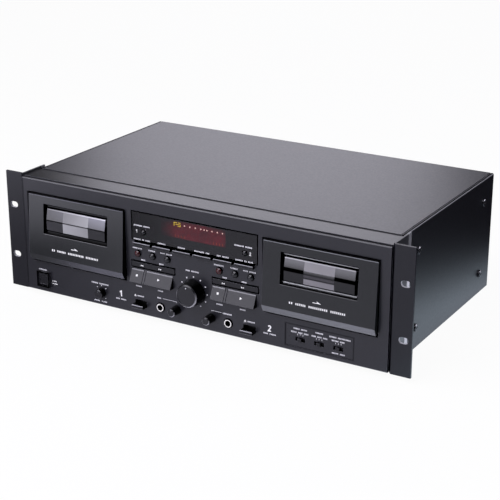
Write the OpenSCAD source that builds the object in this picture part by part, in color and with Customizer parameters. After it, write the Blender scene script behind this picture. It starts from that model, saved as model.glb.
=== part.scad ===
// Double cassette deck with rack ears: a moulded front panel with two hinged cassette doors, a control
// section between them, and a sheet-metal case that holds two tape transports.
// X runs along the front, Y runs back from the face of the front panel, Z runs up from the foot of the ears.

/* [Rack ears] */
// Width of each ear beyond the front panel
ear_w = 23.3; // [20:0.1:32]
// Ear sheet that stands above the front panel
ear_rise = 1.8; // [0.5:0.1:4]
// Ear sheet that hangs below the front panel
ear_drop = 1; // [0.5:0.1:4]
// Thickness of the ear sheet
ear_t = 2.5; // [1.5:0.1:4]
// Distance of the ears behind the front face of the panel
ear_setback = 2.2; // [1:0.1:5]
// Reach of the ear flange along the side of the case
ear_flange = 38; // [30:0.5:44]
// Distance of the slots from the outer edge of the ear
slot_inset = 8.75; // [7:0.05:11]
// Distance between the slots up each ear
slot_rise = 57.15; // [40:0.05:90]
// Length of a slot
slot_l = 10; // [8:0.1:13]
// Width of a slot
slot_w = 6.8; // [5:0.1:7.5]

/* [Front panel] */
// Width of the control section between the cassette wells
centre_w = 166; // [160:0.5:200]
// Panel left outside each cassette well
well_margin = 10.5; // [9:0.5:20]
// Height of the front panel
panel_h = 129.2; // [124:0.2:150]
// Thickness of the front plate
panel_t = 3; // [2.6:0.1:4]
// Depth of the panel with its skirt
panel_depth = 31; // [27:0.5:36]
// Wall of the skirt
panel_wall = 2.4; // [2:0.1:3]
// Bevel on the long edges of the front plate
panel_bevel = 1; // [0.3:0.1:1.5]
// How far the front plate ends below the top of the skirt
plate_drop = 1.2; // [0.4:0.1:2]
// Width of the shadow groove behind the front plate
groove_w = 0.6; // [0.6:0.1:2]
// Depth of the shadow groove
groove_d = 1; // [0.5:0.1:1.4]

/* [Case] */
// Depth from the front panel face to the back edge of the cover
case_depth = 262.5; // [240:0.5:320]
// Sheet thickness of the cover, chassis and rear panel
sheet_t = 1.2; // [0.8:0.1:1.5]
// Cover side set in from the side of the front panel
cover_inset = 1; // [0.5:0.1:2]
// Cover top above the top of the front panel
cover_step = 0.8; // [0.3:0.1:2]
// Front edge of the cover sides, from the panel face
cover_side_y = 48; // [45:0.5:54]
// Outside radius of the cover bends
cover_bend = 2; // [1.6:0.1:3]
// Distance of the crease in the cover top from its side
crease_in = 3.2; // [2.6:0.1:5]
// Depth of the crease
crease_d = 0.5; // [0.2:0.05:0.6]
// Height of the feet below the ears
foot_h = 6; // [4:0.5:14]
// Radius of a foot
foot_r = 12; // [8:0.5:16]
// Distance of the foot centres from the side of the case
foot_in = 38; // [30:1:60]
// Front feet, from the panel face
foot_front_y = 62; // [50:1:80]
// Rear feet, from the back of the case
foot_back_in = 34; // [20:1:60]

/* [Cassette wells and doors] */
// Width of a cassette well in the front panel
well_w = 124.5; // [120:0.5:132]
// Lower edge of the wells
well_z = 35.5; // [33:0.5:37]
// Height of the wells
well_h = 79; // [78:0.5:86]
// Gap around a door in its well
door_gap = 0.6; // [0.4:0.1:1]
// Extra room left of a door, above its hinge
well_left = 2.6; // [0:0.1:3]
// Open slit below the door lip
lip_gap = 3.2; // [2:0.1:4]
// How far the door stands out at its top
door_top_out = 3; // [2:0.1:4.5]
// How far the door stands out at its lip
door_lip_out = 7.6; // [6:0.1:9]
// Height of the lip bevel
lip_h = 7.4; // [6:0.1:9]
// How far the lip bevel runs back
lip_run = 3.4; // [1.5:0.1:3.5]
// Back face of the door behind the panel face
door_back = 2.5; // [2:0.1:2.8]
// Width of the door window
pane_w = 81; // [70:0.5:90]
// Height of the door window
pane_h = 30.5; // [24:0.5:34]
// Centre height of the door window
pane_z = 87.75; // [85:0.25:90]
// Bevel round the door window
pane_bevel = 1.6; // [0.8:0.1:2.2]
// Thickness of the door window at its edge
pane_t = 1.2; // [0.8:0.1:1.4]
// Depth of the window's flange below the door face
pane_deep = 3.6; // [3:0.1:3.8]
// Moat beside the raised lens
moat_x = 2.2; // [1:0.1:3]
// Moat above and below the raised lens
moat_z = 3.4; // [2:0.1:4]
// Depth of the ridge across the lens below the door face
ridge_deep = 0.3; // [0.2:0.1:1]
// How far the upper facet falls back from the ridge
facet_up = 1.8; // [0.8:0.1:2.4]
// How far the lower facet falls back from the ridge
facet_down = 0.9; // [0.4:0.1:2]
// Radius of the door hinge pins
hinge_r = 1.6; // [1.2:0.1:1.9]
// Height of the door hinge above the lower edge of the well
hinge_up = 7; // [6.5:0.1:8]
// Width of a hinge lug
lug_w = 2.5; // [2:0.1:3]

/* [Cassette and transport] */
// Width of a cassette
tape_w = 100.4; // [98:0.1:103]
// Height of a cassette
tape_h = 63.8; // [62:0.1:64.5]
// Thickness of a cassette
tape_d = 12; // [11:0.1:12.4]
// Free play of the cassette in its holder
tape_play = 0.4; // [0.2:0.1:0.8]
// Wall of the cassette holder
holder_t = 1.6; // [1.2:0.1:2]
// Distance between the two reel spindles
reel_pitch = 42.5; // [41:0.1:44]
// Height of the spindles above the bottom of the cassette
reel_up = 35; // [33:0.5:37]
// Radius of a reel table
reel_r = 11; // [9:0.5:13]
// Radius of the spindle fins
spindle_r = 4.6; // [4:0.1:5]
// Thickness of the transport plates
plate_t = 2; // [1.5:0.1:2.4]
// Radius of the capstan
capstan_r = 1.2; // [1:0.1:1.5]
// Radius of the flywheel
flywheel_r = 23.7; // [18:0.1:25]
// Thickness of the flywheel
flywheel_t = 8; // [6:0.5:10]
// Radius of the pinch roller
roller_r = 5; // [4:0.1:5.4]
// Upward stroke of the head slide
head_travel = 6.7; // [5:0.1:7.5]
// Radius of the capstan motor
motor_r = 16.5; // [12:0.5:18]
// Length of the capstan motor
motor_l = 24; // [18:0.5:32]
// Radius of the motor pulley
pulley_r = 4.5; // [3:0.1:6]

/* [Display and keys] */
// Panel left beside the display window
window_margin = 7.7; // [6:0.1:12]
// Lower edge of the display window
window_z = 83.5; // [83.2:0.1:86]
// Height of the display window
window_h = 31.5; // [28:0.5:33]
// Thickness of the display window
window_t = 1.6; // [1.2:0.1:2]
// Distance of the function key row from the end of the display window
fkey_end = 3.675; // [2:0.025:6]
// Gap between function keys
fkey_gap = 3.45; // [2:0.05:3.6]
// Height of a function key
fkey_h = 3.3; // [2.5:0.1:3.8]
// Lower edge of the function keys
fkey_z = 79; // [78:0.1:79.5]
// How far the function keys stand out
fkey_out = 4; // [2:0.1:6]
// Radius of the counter buttons
counter_r = 2.5; // [2:0.1:3.2]
// Distance of the counter buttons from the end of the display window
counter_in = 14.7; // [10:0.1:20]
// Height of the counter buttons
counter_z = 93.5; // [91:0.5:97]
// Distance of each deck's control group from the edge of its well
group_in = 33.5; // [32:0.1:36]
// Radius of the round buttons
round_r = 3.3; // [2.8:0.1:3.8]
// Spacing of the round buttons
round_pitch = 18.3; // [16:0.1:20]
// Height of the round buttons
round_z = 69.3; // [67:0.1:71]
// Width of the wind rocker
rocker_w = 53; // [48:0.5:54]
// Height of the wind rocker
rocker_h = 6.5; // [5.5:0.1:7]
// Lower edge of the wind rocker
rocker_z = 53.2; // [53:0.1:54.5]
// Width of the stop key
stop_w = 15; // [12:0.1:16]
// Width of the play key
play_w = 32.2; // [28:0.1:33]
// Width of the rib between stop and play
rib_w = 2; // [1.4:0.1:2.6]
// Gap beside the stop and play keys
key_gap = 0.7; // [0.4:0.1:1]
// Lower edge of the stop and play keys
key_z = 38; // [37:0.5:40]
// Height of the stop and play keys
key_h = 13.6; // [12:0.1:13.9]
// How far the stop and play keys stand out at their lower edge
key_out = 6; // [4:0.1:8]
// Travel of the push keys
key_travel = 1.2; // [0.8:0.1:1.4]

/* [Knobs, jacks and switches] */
// Base radius of the record level knob
level_r = 14; // [11:0.1:16]
// How far the record level knob stands out
level_out = 15; // [10:0.5:20]
// Height of the record level knob
level_z = 40; // [38:0.5:42]
// Base radius of the two small level knobs
small_r = 5; // [4:0.1:6]
// How far the small level knobs stand out
small_out = 12; // [8:0.5:14]
// Distance of the small level knobs from the centre
small_x = 21; // [19:0.5:23]
// Height of the small level knobs
small_z = 16; // [15:0.5:18]
// Radius of the pitch knob
pitch_r = 5.6; // [4.5:0.1:7]
// How far the pitch knob stands out
pitch_out = 7; // [5:0.5:10]
// Distance of the pitch knob from the middle of its deck
pitch_in = 28.25; // [20:0.25:36]
// Height of the pitch knob
pitch_z = 15.5; // [14:0.5:18]
// Distance of the jacks from the centre
jack_x = 41.2; // [39:0.1:43]
// Height of the jacks
jack_z = 14.3; // [13:0.1:16]
// Radius of the jack bore
jack_r = 3.2; // [3.2:0.05:3.4]
// Outside radius of the jack sleeve
jack_sleeve_r = 4.6; // [4.2:0.1:5]
// Distance of the eject keys from the centre
eject_x = 66; // [63:0.5:68]
// Width of an eject key
eject_w = 14; // [11:0.5:15]
// Lower edge of the eject keys
eject_z = 10; // [9:0.5:11]
// Height of an eject key
eject_h = 7; // [6:0.1:8]
// Height of the bar that stands out
eject_bar_h = 3.8; // [3:0.1:5]
// Bevel on the bar's front edges
eject_bevel = 0.7; // [0.3:0.1:1.2]
// How far an eject key stands out
eject_out = 8; // [6:0.1:10]
// Travel of an eject key
eject_travel = 4; // [2:0.5:5]
// Distance of the slide switches from the middle of their deck
switch_in = 0.75; // [0:0.05:5]
// Spacing of the slide switches
switch_pitch = 20.9; // [20.5:0.1:23]
// Height of the slide switches
switch_z = 14.5; // [13:0.5:17]
// Length of a switch slot
switch_slot_l = 11; // [10:0.1:12]
// Width of a switch slot
switch_slot_w = 4.5; // [4:0.1:5]
// Stroke of a slide switch each way
switch_stroke = 3; // [2:0.1:3.4]
// Distance of the power button from the side of the panel
power_in = 24; // [18:0.5:30]
// Height of the power button
power_z = 16; // [14:0.5:20]
// Width of the power button
power_w = 12; // [9:0.5:13]
// Height of the power button face
power_h = 13; // [10:0.5:14]
// How far the power bezel stands out
bezel_out = 3; // [1.5:0.1:5]
// Wall of the power bezel
bezel_t = 1.6; // [1.2:0.1:2.2]

/* [Rear sockets] */
// Outside radius of a phono socket
phono_r = 4.15; // [4:0.05:4.3]
// How far a phono socket stands out of the rear panel
phono_out = 8.5; // [7:0.1:10]
// Spacing of the phono sockets
phono_pitch = 15; // [13:0.5:18]
// Distance of the mains inlet from the side of the chassis
inlet_in = 49.6; // [40:0.2:65]
// Height of the mains inlet
inlet_z = 38; // [30:1:60]

/* [Hidden] */
$fn = 48;

// Clearances
pin_fit = 0.05;
slide_gap = 0.3;
screw_fit = 0.1;
embed = 0.5;

// Panel and case outline
panel_half = centre_w / 2 + well_w + well_margin;
panel_z0 = ear_drop;
panel_z1 = panel_z0 + panel_h;
face_z1 = panel_z1 - plate_drop;
ear_z1 = panel_z1 + ear_rise;
ear_flange_t = 2;
ear_bend = ear_flange_t + 0.4;
cover_half = panel_half - cover_inset;
cover_z1 = panel_z1 + cover_step;
wall_half = cover_half - sheet_t;
wall_in = wall_half - sheet_t;
base_z0 = panel_z0 + 0.3;
base_z1 = base_z0 + sheet_t;
rear_y1 = case_depth - 0.5;
rear_y0 = rear_y1 - sheet_t;
rear_reach = rear_y1 + phono_out;
origin_y = (rear_reach - level_out) / 2;
chassis_tongue = 7;
crease_w = 1.2;
rear_flange_w = 10;

// Doors, wells and cassettes
deck_x = centre_w / 2 + well_w / 2;
well_z1 = well_z + well_h;
door_w = well_w - 2 * door_gap;
door_z0 = well_z + lip_gap;
door_z1 = well_z1 - door_gap;
lip_z = door_z0 + lip_h;
door_tilt = atan((door_lip_out - door_top_out) / (door_z1 - lip_z));
pane_y = -door_top_out - (door_z1 - pane_z) * tan(door_tilt);
pane_seat = 1.5;
pane_fit = 0.2;
ridge_drop = 0.7;
hinge_y = panel_t + hinge_r + pin_fit + 0.05;
hinge_z = well_z + hinge_up;
lug_r = hinge_r + 2.4;
door_heel = 3;
tape_y = door_back + tape_play;
holder_y = tape_y + tape_d + tape_play;
holder_half = tape_w / 2 + tape_play;
holder_lip = 6;
ledge_in = 13;
tape_z = well_z1 - tape_h - 1.7;
rail_h = 50;
reel_z = tape_z + reel_up;
plate_y = holder_y + holder_t + 1.8;
reel_base_y = plate_y - 0.4;
reel_t = 1.7;
reel_shaft_r = 1.5;
spindle_l = 9.5;
plate_half = well_w / 2 + 6.3;
plate_z0 = well_z + 0.5;
plate_z1 = well_z1 + 1.5;
post_r = 2.5;
post_x = well_w / 2 + post_r + 0.7;
post_low_z = hinge_z + lug_r + post_r + 3;
post_high_z = plate_z1 - 8;
capstan_x = 22;
capstan_z = tape_z + 7;
capstan_tip_y = tape_y + 2;
capstan_boss_r = 3.5;
capstan_boss_l = 2.5;
flywheel_y = plate_y + plate_t + capstan_boss_l + 1.5;
bridge_y = flywheel_y + flywheel_t + 3;
bridge_post_x = [-40, 50];
bridge_post_z = [plate_z0 + 5, plate_z1 - 7];
bridge_edge = 5;
motor_x = -22;
motor_z = reel_z + 8;
motor_bush_r = 5;
pulley_t = 4;
belt_t = 0.8;
belt_w = 1.6;
belt_gap = 0.3;
belt_y = flywheel_y + flywheel_t / 2 - belt_w / 2;
slide_t = 1.7;
slide_pin_x = 31;
slide_pin_r = 1.5;
slide_pin_z = capstan_z - 13.5;
slide_pin_cap_r = 3;
slide_pin_cap_t = 1.4;
slide_slot_r = slide_pin_r + slide_gap;
slide_rim = 2;
slide_half = slide_pin_x + slide_slot_r + slide_rim + 2;
slide_y1 = plate_y - 0.4;
slide_y0 = slide_y1 - slide_t;
roller_z = capstan_z - capstan_r - slide_gap - roller_r - head_travel;
roller_t = 8;
roller_axle_r = 1;
head_w = 13;
head_top = tape_z - 2.5;
head_y = tape_y + 3;
head_rise = 3;
erase_w = 6;
roller_arm_w = 5;
roller_arm_h = 8;

// Boards, keys and switches behind the panel
board_y = panel_t + 11;
board_t = 1.6;
board_half = centre_w / 2 - 9;
board_z0 = 23.5;
board_z1 = panel_z1 - panel_wall - 4;
board_post_x = board_half - 3;
board_post_z = [board_z0 + 2.5, board_z1 - 3.5];
tact_w = 6;
tact_h = 3;
tact_cap_r = 1.6;
tact_cap_h = 1;
tact_y = board_y - tact_h - tact_cap_h;
stem_y = tact_y - key_travel - 0.3;
stem_w = 4;
window_w = centre_w - 2 * window_margin;
window_gap = 0.6;
window_seat = 2;
window_z1 = window_z + window_h;
fkey_count = 6;
fkey_row = window_w - 2 * fkey_end;
fkey_pitch = (fkey_row + fkey_gap) / fkey_count;
fkey_w = fkey_pitch - fkey_gap;
counter_x = window_w / 2 - counter_in;
group_x = centre_w / 2 - group_in;
pitch_x = deck_x - pitch_in;
switch_x = deck_x - switch_in;
power_x = panel_half - power_in;
fkey_slot_gap = 0.3;
round_out = 2.5;
round_gap = 0.7;
counter_out = 1.2;
counter_gap = 0.9;
rocker_out = 0.4;
rocker_gap = 1.2;
rocker_slit = 1.9;
rocker_depth = 4;
rocker_pin_y = panel_t + 3.2;
rocker_pin_r = 1.5;
rocker_boss = 3;
rocker_lug_h = 2.2;
rocker_z1 = rocker_z + rocker_h;
rocker_pin_z = [rocker_z - slide_gap - rocker_lug_h, rocker_z1 + rocker_slit + rocker_lug_h];
rocker_nub_x = 20;
stop_x = group_x - rocker_w / 2;
rib_x = stop_x + stop_w + key_gap;
play_x = rib_x + rib_w + key_gap;
key_z1 = key_z + key_h;
key_toe = 0.7;
key_back = panel_t - 0.5;
display_half = 42;
display_h = 21.5;
display_z1 = window_z1 - 0.5;
display_z0 = display_z1 - display_h;
level_shaft_r = 3;
level_pot_r = 8.5;
level_face = 0.5;
small_shaft_r = 2;
small_pot_r = 7;
pot_depth = 9;
pot_bush_l = 1.5;
small_shaft_end = 1.8 - panel_t - pot_depth;
knob_lift = 0.5;
jack_gap = 1;
jack_out = 1.4;
jack_box = 15;
jack_l = 24;
sleeve_l = 9;
sleeve_t = 1.5;
eject_rear = panel_t + sleeve_l + eject_travel;
eject_step_y = panel_t + 3;
switch_body_w = 20;
switch_body_h = 9;
switch_body_d = 9;
shutter_t = 1.2;
shutter_h = switch_slot_w + 1;
cap_w = 4;
cap_h = 3.4;
cap_out = 2;
field_w = 3 * switch_pitch + 12.3;
field_h = 23.5;
field_d = 0.5;
field_z = 6;
power_gap = 0.9;
power_set = 1;
power_travel = 3;
power_body = 4;
power_body_d = 22;
power_wall = 1.5;
power_half_w = power_w / 2 + power_gap;
power_half_h = power_h / 2 + power_gap;

// Screws
screw_r = 1.9;
screw_head_r = 4;
screw_head_h = 2.2;
screw_l = 7;
side_screw_y = [cover_side_y + 17, case_depth - 27];
side_screw_z = [panel_z0 + 23, panel_z1 - 24.7];
ear_screw_y = 12;
ear_screw_z = [panel_z0 + 29, panel_z1 - 29];
rear_screw_z = [panel_z0 + 16, panel_z1 - 16];

// Rear sockets
phono_in = 134.6;
phono_low_z = 52;
phono_x = [wall_in - phono_in, wall_in - phono_in + 3 * phono_pitch];
phono_z = [phono_low_z, phono_low_z + phono_pitch];
inlet_x = wall_in - inlet_in;
phono_bore_r = 1.7;
phono_collar_r = phono_r + 1.1;
phono_collar_out = 0.6;
phono_block_d = 9;
phono_edge = 8;
inlet_w = 24.4;
inlet_h = 16.8;
inlet_d = 17;
inlet_wall = 2;
inlet_flange = 3.4;
inlet_flange_t = 2.5;
inlet_chamfer = 5;
inlet_pin = [2, 12, 4];
inlet_pin_x = 7;
inlet_pin_z = 2;

// Inside the case
transformer_in = [62.6, 72];
transformer_core = [72, 36, 58];
transformer_coil = [48, 60, 38];
transformer_coil_lift = 10;
transformer_foot = [88, 36, 2];
transformer_x = transformer_in[0] - wall_in;
transformer_y = case_depth - transformer_in[1];
main_board_front = 92;
main_board_back_in = 18;
main_board_side_in = 24.6;
main_board_clear = 13;
main_board_x = [transformer_x + transformer_foot[0] / 2 + main_board_clear, wall_in - main_board_side_in];
main_board_y = [main_board_front, case_depth - main_board_back_in];
main_board_lift = 10;
spacer_r = 3;
spacer_in = 6;
can_r = 8;
can_h = 26;
can_pitch = 22;
can_in = [25, 30];
chip = [22, 10, 4];
chip_pitch = 45;
chip_in = [125, 40];
fin = [2, 30, 32];
fin_pitch = 8;
fin_in = [20, 30];

// Finishes
satin_black = "#222225";
door_black = "#1d1d20";
key_grey = "#6a6a6e";
cap_black = "#161618";
zinc = "#8f9092";
steel = "#b4b6b8";
board_green = "#2f5a3a";
smoke = "#2a2a30";
red_cap = "#6d2126";

// Shapes used by many pieces

// Moves the design frame to the part's origin, below the middle of the deck
module place() {
    translate([0, -origin_y, foot_h]) children();
}

// Box between two values on each axis
module block(x, y, z) {
    translate([x[0], y[0], z[0]]) cube([x[1] - x[0], y[1] - y[0], z[1] - z[0]]);
}

// Round bar along Y
module rod(x, z, y, r) {
    translate([x, y[0], z]) rotate([-90, 0, 0]) cylinder(h = y[1] - y[0], r = r);
}

// Round bar along X
module cross_rod(y, z, x, r) {
    translate([x[0], y, z]) rotate([0, 90, 0]) cylinder(h = x[1] - x[0], r = r);
}

// Round bar along Z
module stud(x, y, z, r) {
    translate([x, y, z[0]]) cylinder(h = z[1] - z[0], r = r);
}

// Outline in Y and Z carried along X
module side_profile(x, outline) {
    translate([x[0], 0, 0]) rotate([90, 0, 90]) linear_extrude(x[1] - x[0]) polygon(outline);
}

// Profile of radius and height turned about an axis along Y, height towards the front
module turned(x, z, y, profile) {
    translate([x, y, z]) rotate([90, 0, 0]) rotate_extrude() polygon(profile);
}

// Slot with round ends along X or Z, cut through along Y
module round_slot(x, z, y, r) {
    for (i = [0, 1]) rod(x[i], z[i], y, r);
    if (x[0] == x[1]) block([x[0] - r, x[0] + r], y, z);
    else block(x, y, [z[0] - r, z[0] + r]);
}

// Stem that reaches from the back of a key to its switch on the control board
module stem(x, z, y0) {
    block([x - stem_w / 2, x + stem_w / 2], [y0, stem_y], [z - 1.5, z + 1.5]);
}

// Case

module chassis_base() color(zinc) place() difference() {
    union() {
        block([-wall_half, wall_half], [panel_depth, rear_y1], [base_z0, base_z1]);
        for (s = [-1, 1]) {
            side = s > 0 ? [wall_in, wall_half] : [-wall_half, -wall_in];
            tab = s > 0 ? [wall_in - sheet_t, wall_in] : [-wall_in, sheet_t - wall_in];
            flange = s > 0 ? [wall_in - rear_flange_w, wall_in] : [-wall_in, rear_flange_w - wall_in];
            block(side, [panel_depth, rear_y1], [base_z0, cover_z1 - cover_bend]);
            block(tab, [panel_depth - chassis_tongue, panel_depth + chassis_tongue],
                  [panel_z0 + panel_wall + 1, panel_z1 - panel_wall - 1]);
            block(flange, [rear_y0 - sheet_t, rear_y0], [base_z0, cover_z1 - sheet_t - 4]);
        }
    }
    side_screw_holes();
    rear_screw_holes();
}

module side_screw_holes() {
    for (y = side_screw_y, z = side_screw_z)
        cross_rod(y, z, [-panel_half - 1, panel_half + 1], screw_r + screw_fit);
}

module rear_screw_holes() {
    for (s = [-1, 1], z = rear_screw_z)
        rod(s * (wall_in - rear_flange_w / 2), z, [rear_y0 - 2 * sheet_t, rear_y1 + 1], screw_r + screw_fit);
}

// Cross-section of the cover: a sheet with two bends, open at the bottom
module cover_section() {
    inner_bend = cover_bend - sheet_t;
    bend_x = cover_half - cover_bend;
    bend_z = cover_z1 - cover_bend;
    difference() {
        union() {
            translate([-cover_half, base_z0]) square([2 * cover_half, bend_z - base_z0]);
            translate([-bend_x, base_z0]) square([2 * bend_x, cover_z1 - base_z0]);
            for (s = [-1, 1]) translate([s * bend_x, bend_z]) circle(cover_bend);
        }
        translate([-wall_half, base_z0 - 1]) square([2 * wall_half, bend_z - base_z0 + 1]);
        translate([-bend_x, base_z0]) square([2 * bend_x, cover_z1 - sheet_t - base_z0]);
        for (s = [-1, 1]) {
            translate([s * bend_x, bend_z]) circle(inner_bend);
            translate([s * (cover_half - crease_in) - crease_w / 2, cover_z1 - crease_d])
                square([crease_w, 1]);
        }
    }
}

module top_cover() color(satin_black) place() difference() {
    translate([0, case_depth, 0]) rotate([90, 0, 0]) linear_extrude(case_depth - panel_depth) cover_section();
    for (s = [-1, 1]) {
        side = s > 0 ? [wall_half - 1, cover_half + 1] : [-cover_half - 1, 1 - wall_half];
        block(side, [panel_depth - 1, cover_side_y], [base_z0 - 1, cover_z1 - cover_bend]);
    }
    side_screw_holes();
}

module rear_panel() color(satin_black) place() difference() {
    block([-wall_in, wall_in], [rear_y0, rear_y1], [base_z1, cover_z1 - sheet_t]);
    rear_screw_holes();
    for (x = phono_x, z = phono_z) rod(x, z, [rear_y0 - 1, rear_y1 + 1], phono_collar_r + 0.2);
    block([-inlet_x - inlet_w / 2 - inlet_wall - 0.3, inlet_w / 2 + inlet_wall + 0.3 - inlet_x],
          [rear_y0 - 1, rear_y1 + 1],
          [inlet_z - inlet_h / 2 - inlet_wall - 0.3, inlet_z + inlet_h / 2 + inlet_wall + 0.3]);
}

module rack_ears() color(satin_black) place() for (s = [-1, 1]) difference() {
    slot_x = s * (panel_half + ear_w - slot_inset);
    half = slot_l / 2 - slot_w / 2;
    bent = [[ear_bend, 0], [ear_w, 0], [ear_w, ear_t], [ear_flange_t, ear_t], [ear_flange_t, ear_flange],
            [0, ear_flange], [0, ear_bend]];
    linear_extrude(ear_z1) polygon([for (p = bent) [s * (panel_half + p[0]), ear_setback + p[1]]]);
    for (t = [-1, 1]) {
        slot_z = ear_z1 / 2 + t * slot_rise / 2;
        round_slot([slot_x - half, slot_x + half], [slot_z, slot_z],
                   [ear_setback - 1, ear_setback + ear_t + 1], slot_w / 2);
    }
    ear_screw_holes();
}

module ear_screw_holes() {
    reach = panel_half - panel_wall - 1;
    for (s = [-1, 1], z = ear_screw_z)
        translate([s * reach, ear_screw_y, z]) rotate([0, s * 90, 0])
            cylinder(h = ear_w, r = screw_r + screw_fit);
}

// Pan-head screw with its seat at the origin and its head along +Z
module screw() {
    dome = 0.6;
    difference() {
        rotate_extrude() polygon([[0, -screw_l], [screw_r, -screw_l], [screw_r, 0], [screw_head_r, 0],
            [screw_head_r, screw_head_h - dome], [screw_head_r - dome, screw_head_h], [0, screw_head_h]]);
        for (a = [0, 90]) rotate([0, 0, a]) translate([-2, -0.5, screw_head_h - 1]) cube([4, 1, 2]);
    }
}

module case_screws() color(cap_black) place() {
    for (s = [-1, 1]) {
        for (y = side_screw_y, z = side_screw_z)
            translate([s * cover_half, y, z]) rotate([0, s * 90, 0]) screw();
        for (z = ear_screw_z)
            translate([s * (panel_half + ear_flange_t), ear_screw_y, z]) rotate([0, s * 90, 0]) screw();
        for (z = rear_screw_z)
            translate([s * (wall_in - rear_flange_w / 2), rear_y1, z]) rotate([-90, 0, 0]) screw();
    }
}

module feet() color(cap_black) place()
    for (s = [-1, 1], y = [foot_front_y, case_depth - foot_back_in])
        translate([s * (cover_half - foot_in), y, -foot_h]) rotate_extrude()
            polygon([[3, 2.5], [3, 0], [foot_r - 2.5, 0], [foot_r - 1.5, 1], [foot_r, foot_h + base_z0],
                     [0, foot_h + base_z0], [0, 2.5]]);

// Front panel

module panel_shell() {
    h = panel_half;
    side_profile([-h, h], [[0, panel_z0 + panel_bevel], [0, face_z1 - panel_bevel], [panel_bevel, face_z1],
        [panel_t, face_z1], [panel_t, panel_z0], [panel_bevel, panel_z0]]);
    difference() {
        union() {
            block([groove_d - h, h - groove_d], [panel_t - embed, panel_t + groove_w + embed],
                  [panel_z0 + groove_d, face_z1 - groove_d]);
            block([-h, h], [panel_t + groove_w, panel_depth], [panel_z0, panel_z1]);
        }
        block([panel_wall - h, h - panel_wall], [panel_t, panel_depth + 1],
              [panel_z0 + panel_wall, panel_z1 - panel_wall]);
    }
}

// Round-ended lug on the back of the panel that carries one hinge pin
module hinge_lug(x) {
    block(x, [panel_t - embed, hinge_y], [hinge_z - lug_r, hinge_z + lug_r]);
    cross_rod(hinge_y, hinge_z, x, lug_r);
}

// Everything moulded behind one cassette well: hinge lugs and the posts of its transport
module well_bosses(s) {
    xc = s * deck_x;
    hinge_lug([xc - well_w / 2 - lug_w, xc - well_w / 2]);
    hinge_lug([xc + well_w / 2, xc + well_w / 2 + lug_w]);
    for (t = [-1, 1], z = [post_low_z, post_high_z])
        rod(xc + t * post_x, z, [panel_t - embed, plate_y], post_r);
}

// Lugs above and below a wind rocker that carry its pin
module rocker_lugs(s) {
    x = [s * group_x - rocker_boss, s * group_x + rocker_boss];
    y = [panel_t - embed, rocker_pin_y + rocker_boss];
    block(x, y, [rocker_pin_z[0], rocker_z - slide_gap]);
    block(x, y, [rocker_z1 + rocker_slit, rocker_pin_z[1]]);
}

// Sleeve that guides an eject key behind the panel
module eject_sleeve(s) {
    w = eject_w / 2 + slide_gap + sleeve_t;
    block([s * eject_x - w, s * eject_x + w], [panel_t - embed, panel_t + sleeve_l],
          [eject_z - slide_gap - sleeve_t, eject_z + eject_h + slide_gap + sleeve_t]);
}

// Openings of one deck: well, hinge bores, buttons, rocker, stop and play, eject
module deck_cuts(s) {
    xc = s * deck_x;
    gx = s * group_x;
    left = gx - group_x + stop_x;
    block([xc - well_w / 2, xc + well_w / 2], [-1, panel_t + 1], [well_z, well_z1]);
    block([xc - well_w / 2 - well_left, xc], [-1, panel_t + 1], [hinge_z + lug_r + 1, well_z1]);
    cross_rod(hinge_y, hinge_z, [xc - well_w / 2 - lug_w - 1, xc + well_w / 2 + lug_w + 1],
              hinge_r + pin_fit);
    for (i = [-1, 0, 1]) rod(gx + i * round_pitch, round_z, [-1, panel_t + 1], round_r + round_gap);
    block([gx - rocker_w / 2 - rocker_gap, gx + rocker_w / 2 + rocker_gap], [-1, panel_t + 1],
          [rocker_z - slide_gap, rocker_z1 + rocker_slit]);
    stud(gx, rocker_pin_y, [rocker_pin_z[0] - 1, rocker_pin_z[1] + 1], rocker_pin_r + pin_fit);
    block([left - key_gap, left + stop_w + rib_w + play_w + 3 * key_gap], [-1, panel_t + 1],
          [key_z - slide_gap, key_z1 + slide_gap]);
    block([s * eject_x - eject_w / 2 - slide_gap, s * eject_x + eject_w / 2 + slide_gap],
          [-1, panel_t + sleeve_l + 1], [eject_z - slide_gap, eject_z + eject_h + slide_gap]);
}

// Openings of the display window and of the function key row below it
module display_cuts() {
    half = window_w / 2 + window_gap;
    block([-half, half], [-1, window_t], [window_z - window_gap, window_z1 + window_gap]);
    block([window_seat - half, half - window_seat], [0, panel_t + 1],
          [window_z + window_seat, window_z1 - window_seat]);
    block([-fkey_row / 2 - fkey_slot_gap, fkey_row / 2 + fkey_slot_gap], [-1, panel_t + 1],
          [fkey_z - fkey_slot_gap, window_z - window_gap]);
}

// Holes for knob shafts, jacks and slide switches, with the sunk field round the switches
module lower_cuts() {
    rod(0, level_z, [-1, panel_t + 1], level_shaft_r + slide_gap);
    for (s = [-1, 1]) {
        rod(s * small_x, small_z, [-1, panel_t + 1], small_shaft_r + slide_gap);
        rod(s * jack_x, jack_z, [-1, panel_t + 1], jack_sleeve_r + jack_gap);
    }
    rod(-pitch_x, pitch_z, [-1, panel_t + 1], small_shaft_r + slide_gap);
    block([switch_x - field_w / 2, switch_x + field_w / 2], [-1, field_d], [field_z, field_z + field_h]);
    for (i = [-1, 0, 1]) {
        x = switch_x + i * switch_pitch;
        block([x - switch_slot_l / 2, x + switch_slot_l / 2], [-1, panel_t + 1],
              [switch_z - switch_slot_w / 2, switch_z + switch_slot_w / 2]);
    }
}

// Bezel round the power button
module power_frame() {
    block([-power_x - power_half_w - bezel_t, power_half_w + bezel_t - power_x], [-bezel_out, panel_t / 2],
          [power_z - power_half_h - bezel_t, power_z + power_half_h + bezel_t]);
}

// Wedge outline shared by the stop key, the play key and the rib between them
function wedge(back) = [[0, key_z1], [-key_out, key_z + key_toe], [key_toe - key_out, key_z],
    [back, key_z], [back, key_z1]];

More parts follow.
